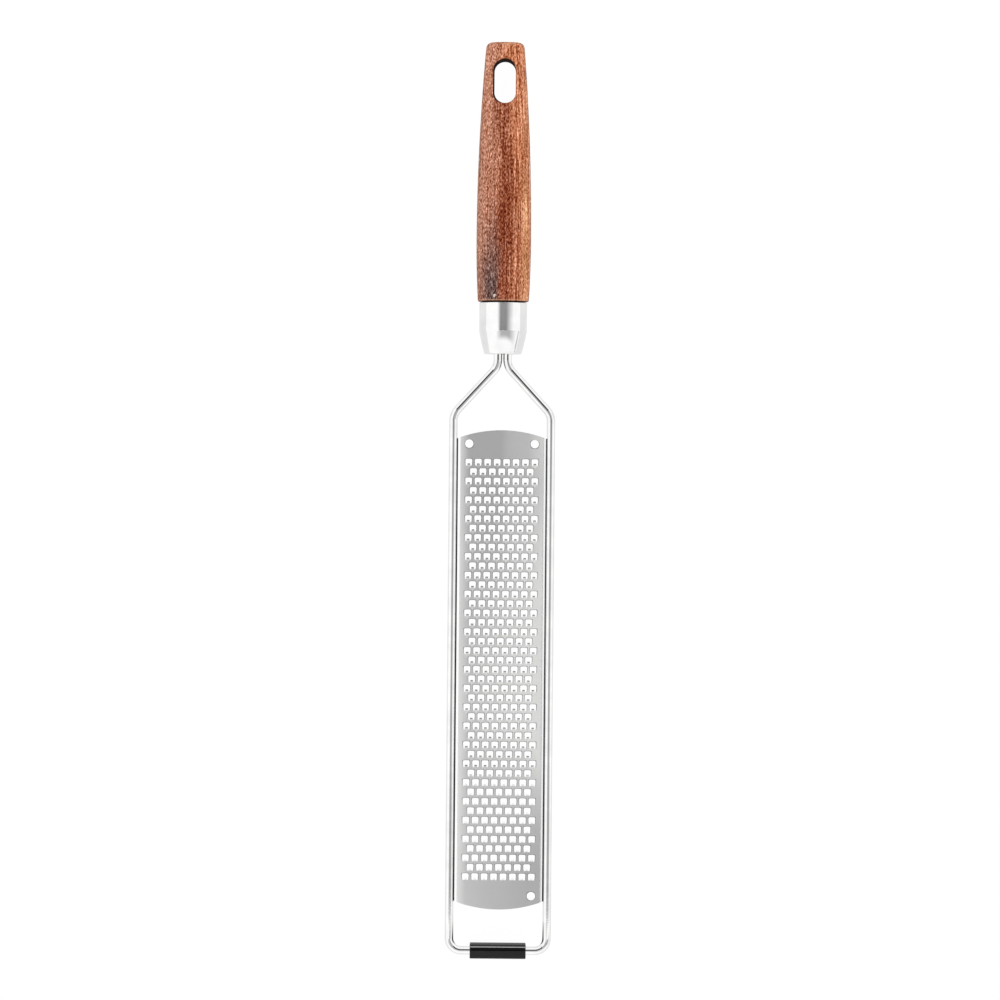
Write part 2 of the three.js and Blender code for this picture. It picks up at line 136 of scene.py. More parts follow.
# Foot
FOOT_HALF_WIDTH = foot_high[0]
FOOT_TIP_Y, FOOT_INNER_Y = foot_low[1], foot_high[1]
FOOT_TOP_Z = foot_high[2]
FOOT_END_ROUND = 0.35
FOOT_LOW_ROUND = 0.7
FOOT_TIP_ROUND = 0.6
FOOT_DRAFT = 0.1
FOOT_PLAY = 0.05

# Welds
WELDS_PER_SIDE = 4


def tone(red, green, blue):
    """Screen colour from 0 to 255 as the linear colour that a shader takes."""
    screen = np.array([red, green, blue]) / 255
    linear = np.where(screen <= 0.04045, screen / 12.92, ((screen + 0.055) / 1.055) ** 2.4)
    return (*linear.tolist(), 1)


# Node helpers

class Field:
    """Value, vector or colour that varies over a surface: an output of a node, with sums on it."""

    def __init__(self, tree, socket):
        self.tree, self.socket = tree, socket

    def through(self, kind, inputs, output=0, **settings):
        """Output of a new node in the same tree."""
        return Field(self.tree, put(self.tree, kind, inputs, **settings).outputs[output])

    def calc(self, operation, *others, kind="Math", output=0):
        """One sum of this value and others."""
        return self.through(kind, dict(enumerate((self, *others))), output, operation=operation)

    def __rsub__(self, other):
        return self.through("Math", {0: other, 1: self}, operation="SUBTRACT")

    def ramp(self, low, high, start=0, end=1, kind="LINEAR"):
        """Value carried from one range to another and held inside it."""
        inputs = {"Value": self, "From Min": low, "From Max": high, "To Min": start, "To Max": end}
        return self.through("MapRange", inputs, "Result", interpolation_type=kind, clamp=True)

    def mix(self, first, second):
        """Colour between two colours by this share from 0 to 1."""
        return self.through("Mix", {0: self, 6: first, 7: second}, 2, data_type="RGBA", clamp_factor=True)

    def parts(self):
        """The three coordinates of a vector."""
        return [Field(self.tree, output) for output in put(self.tree, "SeparateXYZ", {0: self}).outputs]

    __add__ = partialmethod(calc, "ADD")
    __sub__ = partialmethod(calc, "SUBTRACT")
    __mul__ = partialmethod(calc, "MULTIPLY")
    __truediv__ = partialmethod(calc, "DIVIDE")
    __abs__ = partialmethod(calc, "ABSOLUTE")
    most = partialmethod(calc, "MAXIMUM")
    vector = partialmethod(calc, kind="VectorMath")
    ease = partialmethod(ramp, kind="SMOOTHSTEP")


def feed(tree, entry, value):
    """Links a node's input to a varying value, or sets it to a constant."""
    if isinstance(value, Field):
        tree.links.new(value.socket, entry)
    else:
        entry.default_value = value


def put(tree, kind, inputs=None, **settings):
    """Adds a node, sets its properties, and links or sets its inputs by name or number."""
    node = tree.nodes.new("ShaderNode" + kind)
    for key, value in settings.items():
        setattr(node, key, value)
    for key, value in (inputs or {}).items():
        feed(tree, node.inputs[key], value)
    return node


def emptied(owner):
    """Node tree of a material or a world, cleared."""
    owner.use_nodes = True
    owner.node_tree.nodes.clear()
    return owner.node_tree


def new_look(name, metallic=0, gloss=0.5):
    """Empty material with one shader, and its place over the surface in millimetres."""
    look = bpy.data.materials.new(name)
    tree = emptied(look)
    shader = put(tree, "BsdfPrincipled", {"Metallic": metallic, "Specular IOR Level": gloss})
    tree.links.new(shader.outputs["BSDF"], put(tree, "OutputMaterial").inputs["Surface"])
    metres = Field(tree, put(tree, "TexCoord").outputs["Object"])
    return look, shader, metres.through("Mapping", {"Vector": metres, "Scale": (1 / MM, 1 / MM, 1 / MM)})


def dress(look, shader, base, rough, relief, strength, distance, crevice_shade=None):
    """Gives a shader its colour, its roughness and a relief whose distance is in millimetres. With a mark of painted
    shade it is metal, and painted dark without shine where the mark is: painted shade and dark painted reflection."""
    tree = look.node_tree
    if crevice_shade is not None:
        base = crevice_shade.mix(base, CREVICE_SHADE_TONE)
        feed(tree, shader.inputs["Metallic"], 1 - crevice_shade)
    normal = base.through("Bump", {"Height": relief, "Strength": strength, "Distance": distance * MM}, "Normal")
    for key, value in (("Base Color", base), ("Roughness", rough), ("Normal", normal)):
        feed(tree, shader.inputs[key], value)
    return look


def marked(place, name):
    """Mark that a mesh carries at its points."""
    return place.through("Attribute", {}, "Fac", attribute_name=name)


def noise_group():
    """Node group: noise drawn out along the grater, from its counts per millimetre across and along."""
    group = bpy.data.node_groups.new("drawn_noise", "ShaderNodeTree")
    for label in ("Place", "Across", "Along", "Detail", "Roughness"):
        kind = "NodeSocketVector" if label == "Place" else "NodeSocketFloat"
        group.interface.new_socket(label, in_out="INPUT", socket_type=kind)
    group.interface.new_socket("Value", in_out="OUTPUT", socket_type="NodeSocketFloat")
    entry = group.nodes.new("NodeGroupInput").outputs
    place, across, along, detail, roughness = (Field(group, entry[number]) for number in range(5))
    drawn = place.vector("MULTIPLY", place.through("CombineXYZ", {"X": across, "Y": along, "Z": across}))
    noise = {"Vector": drawn, "Scale": 1, "Detail": detail, "Roughness": roughness}
    feed(group, group.nodes.new("NodeGroupOutput").inputs["Value"], drawn.through("TexNoise", noise, "Fac"))
    return group


NOISE = noise_group()


def streaks(place, across, along, detail=3, roughness=0.6):
    """Drawn-out noise in a material, from the shared group."""
    inputs = {"Place": place, "Across": across, "Along": along, "Detail": detail, "Roughness": roughness}
    return place.through("Group", inputs, "Value", node_tree=NOISE)


def mottle(place, size):
    """Soft blotches of a size in millimetres, from the shared group."""
    return streaks(place, 1 / size, 1 / size, detail=4, roughness=0.5)


# Finishes. A ramp is two places, from its start to its end, and its values there where they aren't 0 and 1.
# Most of the noise lies in one of the two spans.

NOISE_WIDE = (0.3, 0.7)
NOISE_MIDDLE = (0.35, 0.65)
NOISE_MEAN = 0.5
# Painted shade and dark painted reflection on metal in narrow gaps
CREVICE_SHADE_TONE = tone(10, 10, 10)

WOOD_LIGHT = tone(210, 129, 88)
WOOD_PINK = tone(198, 133, 105)
WOOD_DARK = tone(152, 77, 47)
# Pale tone, also used for the painted highlights on the handle's rounded end edges
WOOD_PALE = tone(226, 172, 134)
WOOD_STAIN = tone(104, 79, 75)
# Painted shade at the joint and in the slot, and painted shadow beside the nick
WOOD_SHADE = tone(44, 22, 16)
WOOD_PORE = tone(84, 38, 22)
WOOD_STREAK = tone(234, 172, 116)
WOOD_NICK = tone(240, 228, 214)
# Painted shade where the sides turn away and on the left side
WOOD_SIDE_SHADE = tone(128, 94, 78)
WOOD_DARKEST = (0.03, 0.02, 0.02)
SCREEN_GAMMA = 2.2

# Grain of the wood, in counts per millimetre across and along, and how far it sways in millimetres
GRAIN_LINES = (1.5, 0.035)
GRAIN_DASHES = (2.4, 0.95)
GRAIN_PORES = (2.8, 0.6)
GRAIN_SWAY = (0.2, 0.06)
SWAY = 1.1

# Middle of the wood's dark heart: share of the handle's length from the joint, and millimetres off the axis
HEART_LINE = ((0, 0.6), (0.1, 0.3), (0.23, 0), (0.35, 0.6), (0.43, 1.2), (0.51, 1), (0.58, 0.4),
              (0.7, -0.4), (1, -1.2))
HEART_REACH = 2

# Ramps of the wood over shares of its length, over millimetres from the axis, and over heights of the noise
HEART_RIGHT = (0.25, 0.55, 8.8, 4.4)
HEART_LEFT = (0.3, 0.6, -8.6, -5.6)
HEART_EDGE = (0.05, 1)
LIGHT_TOP = (0.76, 0.86, 0, 0.95)
PINK_TO_LIGHT = (-4, 2)
PALE_SIDE = (5.8, 7.6, 0, 0.2)
STAIN_LEFT = (0.03, 0.2, -10.6, -9.4)
STAIN_FULL_X = -5.2
STAIN_RIGHT = (-0.2, -3.6)
STAIN_LENGTH = (0.4, 0.06, 0, 0.95)
STREAK_X = 8.1
STREAK_WIDTH = (0.9, 0.2, 0, 0.6)
STREAK_LENGTH = (0.55, 0.4)
# Painted shade where the sides turn away from the eye, and on the left side
TURNED_AWAY_SHADE = (0.6, 0.85, 0, 0.5)
LEFT_SIDE_SHADE = (-6.6, -9.6, 0, 0.35)
LINE_POWER = (-4, 4, 0.6, 1.25)
DASH_POWER = (-4, 4, 1.75, 1.55)
PORE_DEPTH = (0.38, 0.28)
PORE_SHARE = 0.5
DASH_RELIEF = 0.5
WOOD_ROUGH = (0.65, 0.5)
# Painted highlights on rounded edges: a line above the joint and a short stretch of the top. Painted shade along the
# joint.
JOINT_HIGHLIGHT_ABOVE = (JOINT_Y + 0.85, JOINT_Y + 0.55, 0, 0.45)
JOINT_HIGHLIGHT_BELOW = (JOINT_Y + 0.15, JOINT_Y + 0.35)
JOINT_SHADE = (JOINT_Y + 0.3, JOINT_Y + 0.12, 0, 0.9)
TOP_HIGHLIGHT_BELOW = (HANDLE_TOP_Y - 1.3, HANDLE_TOP_Y - 0.8, 0, 0.6)
TOP_HIGHLIGHT_ABOVE = (HANDLE_TOP_Y - 0.2, HANDLE_TOP_Y - 0.5)
TOP_HIGHLIGHT_X = 1.2
TOP_HIGHLIGHT_WIDTH = (2.6, 1.2)

NICK_PLACE = (-3.3, JOINT_Y + 2.1, AXIS_Z + 9.05)
NICK_SHADOW = (-2.8, JOINT_Y + 1.7, AXIS_Z + 9.1)
NICK_SHAPE = (1.25, 0.8, 0.5)
NICK_EDGE = (0.6, 0.35, 0, 0.9)
NICK_RAGGED = 2
NICK_DEPTH = 0.15
NICK_REACH = 0.7


def oiled_wood():
    """Reddish-brown wood: a dark heart down the middle that wanders with the length and widens to the joint, pinker
    wood on its left, a grey stain near the joint, a pale streak on the right, painted shade where the sides turn
    away and on the left side, long and short grain added to the screen colour, pores, painted highlights on the
    rounded edges above the joint and at the top, painted shade along the joint and in the slot, and a small pale
    nick with a painted shadow beside it."""
    look, shader, place = new_look("oiled_wood", gloss=0.1)
    lines, dashes, pores, bends = (streaks(place, *counts)
                                   for counts in (GRAIN_LINES, GRAIN_DASHES, GRAIN_PORES, GRAIN_SWAY))
    x, height, _ = place.parts()
    across = x + bends.ramp(*NOISE_WIDE, -SWAY, SWAY)
    share = height.ramp(JOINT_Y, HANDLE_TOP_Y)

    line = put(place.tree, "FloatCurve", {"Value": share})
    keys = line.mapping.curves[0].points
    for key_share, _ in HEART_LINE[1:-1]:
        keys.new(key_share, 0.5)
    for key, (key_share, off_axis) in zip(keys, HEART_LINE):
        key.location = (key_share, 0.5 + off_axis / (2 * HEART_REACH))
    line.mapping.update()
    heart = Field(place.tree, line.outputs["Value"]).ramp(0, 1, -HEART_REACH, HEART_REACH)
    off_heart = across - heart
    away = (off_heart / share.ramp(*HEART_RIGHT)).most(off_heart / share.ramp(*HEART_LEFT))
    light = away.ramp(*HEART_EDGE).most(share.ramp(*LIGHT_TOP))
    base = light.mix(WOOD_DARK, across.ramp(*PINK_TO_LIGHT).mix(WOOD_PINK, WOOD_LIGHT))
    base = across.ease(*PALE_SIDE).mix(base, WOOD_PALE)
    stain = across.ease(share.ramp(*STAIN_LEFT), STAIN_FULL_X) * across.ease(*STAIN_RIGHT)
    base = (stain * share.ramp(*STAIN_LENGTH)).mix(base, WOOD_STAIN)
    streak = abs(x - STREAK_X).ease(*STREAK_WIDTH) * share.ease(*STREAK_LENGTH)
    base = streak.mix(base, WOOD_STREAK)
    # Painted shade at the sides that turn away and on the left side
    facing = place.through("LayerWeight", {}, "Facing")
    base = facing.ease(*TURNED_AWAY_SHADE).most(x.ease(*LEFT_SIDE_SHADE)).mix(base, WOOD_SIDE_SHADE)

    grain = (lines - NOISE_MEAN) * across.ramp(*LINE_POWER)
    grain = (dashes - NOISE_MEAN) * across.ramp(*DASH_POWER) + grain
    seen = base.through("Gamma", {"Color": base, "Gamma": 1 / SCREEN_GAMMA})
    seen = seen.vector("ADD", grain).vector("MAXIMUM", WOOD_DARKEST)
    base = seen.through("Gamma", {"Color": seen, "Gamma": SCREEN_GAMMA})
    pore = pores.ease(*PORE_DEPTH)
    base = (pore * PORE_SHARE).mix(base, WOOD_PORE)
    # Painted highlights on the rounded edges above the joint and at the top
    joint_highlight = height.ease(*JOINT_HIGHLIGHT_ABOVE) * height.ease(*JOINT_HIGHLIGHT_BELOW)
    top_highlight = height.ease(*TOP_HIGHLIGHT_BELOW) * height.ease(*TOP_HIGHLIGHT_ABOVE) * abs(across - TOP_HIGHLIGHT_X).ease(*TOP_HIGHLIGHT_WIDTH)
    base = joint_highlight.most(top_highlight).mix(base, WOOD_PALE)
    # Painted shade along the joint and in the slot
    slot = marked(place, "slot")
    base = height.ease(*JOINT_SHADE).most(slot).mix(base, WOOD_SHADE)
    for centre, colour in ((NICK_SHADOW, WOOD_SHADE), (NICK_PLACE, WOOD_NICK)):
        off_centre = place.vector("SUBTRACT", centre).vector("MULTIPLY", NICK_SHAPE)
        ragged = (pores - NOISE_MEAN) * NICK_RAGGED + off_centre.vector("LENGTH", output="Value")
        base = ragged.ease(*NICK_EDGE).mix(base, colour)
    rough = lines.ramp(*NOISE_WIDE, *WOOD_ROUGH).most(slot)
    return dress(look, shader, base, rough, dashes * DASH_RELIEF - pore, strength=0.3, distance=0.06)


STEEL_TONES = tone(238, 238, 238), tone(248, 248, 247)
SMUDGE_SIZE = 6
SMUDGE_SPAN = (0.4, 0.7)
SMUDGE_ROUGH = (0.7, 1.2)
POLISH_ROUGH = 0.4


def polished_steel(name, across, along, roughness):
    """Bright steel with fine polishing lines, faint smudges, and painted shade with dark painted reflection where
    it lies in a narrow gap.
    """
    look, shader, place = new_look(name, gloss=0)
    lines = streaks(place, across, along)
    smudge = mottle(place, SMUDGE_SIZE)
    base = smudge.ramp(*NOISE_MIDDLE).mix(*STEEL_TONES)
    rough = lines.ramp(*NOISE_MIDDLE, 0, POLISH_ROUGH * roughness)
    rough = rough + smudge.ramp(*SMUDGE_SPAN, *(share * roughness for share in SMUDGE_ROUGH))
    return dress(look, shader, base, rough, lines, strength=0.06, distance=0.02, crevice_shade=marked(place, "crevice_shade"))


# Tones of the painted sheen, the painted shade on cut rims and the painted highlight on the roll
SHEET_SHEEN_TONES = tone(201, 201, 201), tone(242, 242, 241)
SHEET_RIM_SHADE_TONE = tone(118, 118, 118)
SHEET_ROLL_HIGHLIGHT_TONE = tone(250, 250, 250)
SHEET_LINES = (5, 0.08)
CLOUD_SIZE = 26
CLOUD = 0.08

# Ramps of the sheet's painted sheen over millimetres along and across it
SHEEN_LEFT = (SHEET_HIGH_Y - 10, SHEET_MIDDLE_Y, 0, 0.5)
SHEEN_RISE = (SHEET_HIGH_Y - 15, SHEET_MIDDLE_Y, 0.3, 0.95)
SHEEN_FALL = (SHEET_MIDDLE_Y - 5, SHEET_LOW_Y + 10, 0, 0.85)
LEFT_TO_RIGHT = (-11, 11)
# Painted highlights on the margins
MARGIN_SHEEN_LEFT = (-12.3, -15.8, 0, 0.6)
MARGIN_SHEEN_RIGHT = (10, 15.8, 0, 0.35)
MARGIN_SHEEN_LOW = (SHEET_LOW_Y + 30, SHEET_LOW_Y + 60)
MARGIN_SHEEN_GAIN = (0, 1, 1, 1.5)
UPPER_PART = (SHEET_MIDDLE_Y + 20, SHEET_HIGH_Y - 25)
SHADE_X = -4.5
SHADE_WIDTH = (2, 8, -0.3, 0)
BEND_SHEEN = 0.55
RIM_SHADE_DEPTH = (0.3, 1, 0, 0.85)
SHEEN_ROUGH = (0, 1.2, 0.58, 0.8)
LINE_ROUGH = 0.03
ROLL_SMOOTH = (0, 1, 1, 0.2)


def satin_sheet():
    """Satin steel sheet: fine lines along it, a painted sheen that grows from the upper end to the middle and falls
    again at the lower right, a painted shade left of the middle in its upper part, painted highlights on the
    margins, the rolled edges, the tongue roots and the lower tongues, and painted shade on the cut rims, the tooth
    tips and in the narrow gaps beside the rod."""
    look, shader, place = new_look("satin_sheet", gloss=0)
    lines = streaks(place, *SHEET_LINES)
    cloud = mottle(place, CLOUD_SIZE).ramp(*NOISE_WIDE, -CLOUD, CLOUD)
    across, along, _ = place.parts()
    rim, bend_highlight, roll = (marked(place, name) for name in ("rim", "bend_highlight", "roll"))
    left = along.ramp(*SHEEN_LEFT)
    right = along.ease(*SHEEN_RISE) - along.ease(*SHEEN_FALL)
    upper = along.ramp(*UPPER_PART)
    margin = across.ramp(*MARGIN_SHEEN_LEFT).most(across.ramp(*MARGIN_SHEEN_RIGHT) * along.ramp(*MARGIN_SHEEN_LOW))
    shade = upper * abs(across - SHADE_X).ease(*SHADE_WIDTH)
    sheen = (right - left) * across.ramp(*LEFT_TO_RIGHT) + left + cloud
    sheen = bend_highlight * BEND_SHEEN + (sheen + (margin * upper.ramp(*MARGIN_SHEEN_GAIN) + shade))
    base = rim.ease(*RIM_SHADE_DEPTH).mix(sheen.mix(*SHEET_SHEEN_TONES), SHEET_RIM_SHADE_TONE)
    base = roll.mix(base, SHEET_ROLL_HIGHLIGHT_TONE)
    rough = sheen.ramp(*SHEEN_ROUGH) + lines.ramp(*NOISE_WIDE, -LINE_ROUGH, LINE_ROUGH)
    rough = roll.ramp(*ROLL_SMOOTH) * rough
    return dress(look, shader, base, rough, lines, strength=0.08, distance=0.03, crevice_shade=marked(place, "crevice_shade"))


WELD_TONES = tone(172, 164, 150), tone(150, 152, 160)
WELD_TINT_SIZE = 1.6
WELD_TINT = (0.35, 0.55)
WELD_GRIT_SIZE = 0.35
WELD_ROUGH = (0.36, 0.55)


def weld_metal():
    """Dull weld bead with faint straw and blue heat tints."""
    look, shader, place = new_look("weld_metal", metallic=1)
    tint = mottle(place, WELD_TINT_SIZE)
    base = tint.ramp(*WELD_TINT).mix(*WELD_TONES)
    rough = tint.ramp(*NOISE_WIDE, *WELD_ROUGH)
    return dress(look, shader, base, rough, mottle(place, WELD_GRIT_SIZE), strength=0.3, distance=0.04)


RUBBER_TONES = tone(30, 30, 31), tone(50, 50, 52)
RUBBER_GROOVE_SHADE_TONE = tone(1, 1, 1)
RUBBER_RIDGE_HIGHLIGHT_TONE = tone(186, 186, 188)
RUBBER_PIT_SIZE = 0.35
RUBBER_ROUGH = (0.45, 0.65)
RUBBER_SMEAR = (0.12, 0.9)
SMEAR_SHARE = (0.45, 0.75, 0, 0.7)
RIDGE_HIGHLIGHT_SHARE = (0.2, 1, 0, 0.95)


def black_rubber():
    """Matt black rubber: fine pitted skin, faint pale smears, a painted highlight along its ridge, and painted shade
    in a deep groove.
    """
    look, shader, place = new_look("black_rubber", gloss=0.3)
    skin = mottle(place, RUBBER_PIT_SIZE)
    base = streaks(place, *RUBBER_SMEAR).ease(*SMEAR_SHARE).mix(*RUBBER_TONES)
    # Painted shade in the groove and a painted highlight along the ridge
    base = marked(place, "groove").mix(base, RUBBER_GROOVE_SHADE_TONE)
    base = marked(place, "ridge").ease(*RIDGE_HIGHLIGHT_SHARE).mix(base, RUBBER_RIDGE_HIGHLIGHT_TONE)
    return dress(look, shader, base, skin.ramp(*NOISE_WIDE, *RUBBER_ROUGH), skin, strength=0.25, distance=0.05)


ADHESIVE_TONES = tone(196, 176, 128), tone(214, 199, 158)
ADHESIVE_CLOUD_SIZE = 3
ADHESIVE_BUBBLE_SIZE = 0.5
ADHESIVE_ROUGH = (0.35, 0.6)


def set_adhesive():
    """Hardened amber adhesive, cloudy, with small bubbles."""
    look, shader, place = new_look("set_adhesive")
    cloud = mottle(place, ADHESIVE_CLOUD_SIZE)
    base = cloud.ramp(*NOISE_MIDDLE).mix(*ADHESIVE_TONES)
    rough = cloud.ramp(*NOISE_WIDE, *ADHESIVE_ROUGH)
    return dress(look, shader, base, rough, mottle(place, ADHESIVE_BUBBLE_SIZE), strength=0.2, distance=0.05)


# Mesh helpers

def joined(*parts):
    """Arrays laid end to end."""
    return np.concatenate(parts)


def stacked(*coordinates):
    """Points from coordinates that are spread over one common grid."""
    return np.stack(np.broadcast_arrays(*coordinates), axis=-1)


def quarter_turn(steps):
    """Angles from 0 to a right angle."""
    return np.linspace(0, np.pi / 2, steps + 1)


def full_turn(count):
    """Angles once round a ring, without the last, which is the first."""
    return np.arange(count) * (2 * np.pi / count)


def unit(vectors):
    """Vectors brought to a length of one."""
    return vectors / np.linalg.norm(vectors, axis=-1, keepdims=True)


def rise(value, start, end):
    """Share of the way from a start to an end, held between 0 and 1."""
    return np.clip((value - start) / (end - start), 0, 1)


def within(number, span):
    """Whether numbers lie in a span, its end left out."""
    return (number >= span[0]) & (number < span[1])


def oval_rings(y, half_width, half_thickness, columns, middle_x=0, middle_z=AXIS_Z):
    """Rings round a line along the grater: half width times the cosine, half thickness times the sine."""
    angle = full_turn(columns)
    return stacked(middle_x + half_width[:, None] * np.cos(angle), y[:, None],
                   middle_z + half_thickness[:, None] * np.sin(angle))


def numbered(start, grid):
    """Point numbers of a grid of points, counted on from a start."""
    return start + np.arange(grid[..., 0].size).reshape(grid.shape[:2])


def grid_quads(rows, columns, close_rows=False, close_columns=False):
    """Quads between neighbouring points of a grid that is numbered row by row; a closed side meets its start."""
    row = np.arange(rows if close_rows else rows - 1)[:, None]
    column = np.arange(columns if close_columns else columns - 1)[None, :]
    next_row = (row + 1) % rows
    next_column = (column + 1) % columns
    corners = stacked(row * columns + column, row * columns + next_column,
                      next_row * columns + next_column, next_row * columns + column)
    return corners.reshape(-1, 4)


def ring_quads(numbers):
    """Quads between closed rings, given as rows of point numbers."""
    return numbers.ravel()[grid_quads(*numbers.shape, close_columns=True)]


def pole_fan(ring, pole):
    """Triangles from a closed ring of point numbers to one pole."""
    return np.stack([ring, np.roll(ring, -1), np.full_like(ring, pole)], axis=-1)


def capped_tube(rings, poles):
    """Points and faces of a tube of rings with a pole at each end."""
    index = numbered(0, rings)
    fans = [pole_fan(index[0], index.size)[:, ::-1], pole_fan(index[-1], index.size + 1)]
    return joined(rings.reshape(-1, 3), poles), [ring_quads(index), *fans]


def block_border(index, rows, columns):
    """Point numbers once round the border of a block of a grid."""
    block = index[np.ix_(rows, columns)]
    return joined(block[0, :-1], block[:-1, -1], block[-1, :0:-1], block[:0:-1, 0])


def outward(points, faces):
    """Groups of faces turned so that the volume they close, a sum of triple products, is positive."""
    volume = 0
    for group in faces:
        first = points[group[:, 0]]
        for corner in range(1, group.shape[1] - 1):
            second, third = points[group[:, corner]], points[group[:, corner + 1]]
            volume += np.sum(first * np.cross(second, third))
    return faces if volume > 0 else [group[:, ::-1] for group in faces]


def added(name, data):
    """New object in the scene, from a mesh or a camera."""
    item = bpy.data.objects.new(name, data)
    bpy.context.scene.collection.objects.link(item)
    return item


def make_piece(name, points, faces, look, node, sharp_angle, marks=None):
    """Mesh from points in millimetres and groups of faces, in place of a CAD node and on the part's body."""
    mesh = bpy.data.meshes.new(name)
    polygons = [face for group in outward(points, faces) for face in group.tolist()]
    mesh.from_pydata((points * MM).tolist(), [], polygons)
    mesh.shade_smooth()
    mesh.set_sharp_from_angle(angle=math.radians(sharp_angle))
    for mark, values in (marks or {}).items():
        mesh.attributes.new(mark, "FLOAT", "POINT").data.foreach_set("value", values.astype(np.float32))
    mesh.materials.append(look)
    piece = added(name, mesh)
    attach(piece, "root")
    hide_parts(node)


# Handle

HANDLE_COLUMNS = 96
ROUND_STEPS = 6
BODY_RINGS = (25, 33, 27, 4)
NICK_ZONE = 9
TOP_SHARES = (0.66, 0.33)
SLOT_FIELD_BELOW = 2.4
SLOT_FIELD_ABOVE = 2.2
SLOT_COLUMNS = (12, 36)
SKIN_RINGS = 7
RIM_RINGS = 5
WALL_RINGS = 7

# Slot's painted shade: at its rim's start and on its wall, all round, and what its left side and upper end add
SLOT_RIM_DARK = 0.06
SLOT_WALL_DARK = 4
SLOT_DARK = 0.3
SLOT_LEFT_DARK = 16
SLOT_UPPER_DARK = 3


def handle_half_spans(along):
    """Half width and half thickness at distances from the joint: a parabola on each side of the belly."""
    before = along < BELLY_FROM_JOINT
    reach = np.where(before, BELLY_FROM_JOINT, HANDLE_LENGTH - BELLY_FROM_JOINT)
    fall = ((along - BELLY_FROM_JOINT) / reach) ** 2
    width = BELLY_WIDTH - (BELLY_WIDTH - np.where(before, JOINT_SPAN, TOP_WIDTH)) * fall
    thickness = BELLY_THICKNESS - (BELLY_THICKNESS - np.where(before, JOINT_SPAN, TOP_THICKNESS)) * fall
    return width / 2, thickness / 2


def handle_rings():
    """Rings of the handle as rows of y, half width and half thickness: up the bore, over the tenon and the joint's
    face, along the body with rounded end edges, and in over the flat top. Returns the slot's first and last row."""
    quarter = quarter_turn(ROUND_STEPS)
    stops = (JOINT_ROUND, NICK_ZONE, SLOT_Y - SLOT_HALF_SPINE - SLOT_RADIUS - SLOT_FIELD_BELOW - JOINT_Y,
             SLOT_Y + SLOT_HALF_SPINE + SLOT_RADIUS + SLOT_FIELD_ABOVE - JOINT_Y, HANDLE_LENGTH - TOP_ROUND)
    parts = [JOINT_ROUND * (1 - np.cos(quarter)),
             *(np.linspace(low, high, count)[1:] for low, high, count in zip(stops, stops[1:], BODY_RINGS)),
             HANDLE_LENGTH - TOP_ROUND * (1 - np.sin(quarter[1:]))]
    along = joined(*parts)
    inset = np.zeros_like(along)
    inset[:ROUND_STEPS + 1] = JOINT_ROUND * (1 - np.sin(quarter))
    inset[-ROUND_STEPS:] = TOP_ROUND * (1 - np.cos(quarter[1:]))
    half_width, half_thickness = handle_half_spans(along)
    body = stacked(JOINT_Y + along, half_width - inset, half_thickness - inset)
    inside = np.array([(BORE_END_Y, BORE_RADIUS, BORE_RADIUS), (TENON_END_Y, BORE_RADIUS, BORE_RADIUS),
                       (TENON_END_Y, TENON_RADIUS, TENON_RADIUS), (JOINT_Y, TENON_RADIUS, TENON_RADIUS)])
    top = body[-1] * np.array([(1, share, share) for share in TOP_SHARES])
    first = len(inside) + sum(len(part) for part in parts[:3]) - 1
    return joined(inside, body, top), first, first + len(parts[3])


def slot_rings(border):
    """Rings from the border of the slot's field down to its wall. Each border point has a nearest point on the
    slot's spine; the rings close in along that line on the handle's skin, round over the rim, and go down inside."""
    spine = stacked(0, np.clip(border[:, 1], SLOT_Y - SLOT_HALF_SPINE, SLOT_Y + SLOT_HALF_SPINE))
    reach = border[:, :2] - spine
    distance = np.linalg.norm(reach, axis=-1)
    direction = reach / distance[:, None]

    def at(away):
        """Plan points at a distance from the spine, and the skin's height above the axis there."""
        flat = spine + direction * away[..., None]
        half_width, half_thickness = handle_half_spans(flat[..., 1] - JOINT_Y)
        return flat, half_thickness * np.sqrt(1 - (flat[..., 0] / half_width) ** 2)

    share = np.linspace(0, 1, SKIN_RINGS + 1)[1:, None]
    skin, skin_height = at(distance + (SLOT_RADIUS + SLOT_RIM - distance) * share)
    turn = quarter_turn(RIM_RINGS)[1:, None]
    rim, _ = at(SLOT_RADIUS + SLOT_RIM * (1 - np.sin(turn)) * np.ones_like(distance))
    rim_height = skin_height[-1] - SLOT_RIM * (1 - np.cos(turn))
    wall = np.broadcast_to(rim[-1], (WALL_RINGS, *rim[-1].shape))
    wall_height = rim_height[-1] * np.linspace(1, -1, WALL_RINGS + 2)[1:-1, None]
    plan = joined(skin, rim, wall, rim[::-1], skin[::-1])
    height = joined(skin_height, rim_height, wall_height, -rim_height[::-1], -skin_height[::-1])
    return np.concatenate([plan, AXIS_Z + height[..., None]], axis=-1)


def slot_painted_shade(through):
    """Mark of painted shade on the slot's rings: it grows over the rim, most on the left by the fourth power of the
    place across, and on the upper end by the square of the place along."""
    rings_down = joined(np.zeros(SKIN_RINGS - 1), np.linspace(SLOT_RIM_DARK, 1, RIM_RINGS + 1))
    depth = joined(rings_down, np.full(WALL_RINGS, SLOT_WALL_DARK), rings_down[:0:-1])[:, None]
    left = rise(-through[..., 0], 0, SLOT_RADIUS)
    upper = rise(through[..., 1] - SLOT_Y - SLOT_HALF_SPINE, 0, SLOT_RADIUS)
    side = np.maximum(SLOT_LEFT_DARK * left ** 4, SLOT_UPPER_DARK * upper ** 2)
    return np.clip(depth * (SLOT_DARK + side), 0, 1)


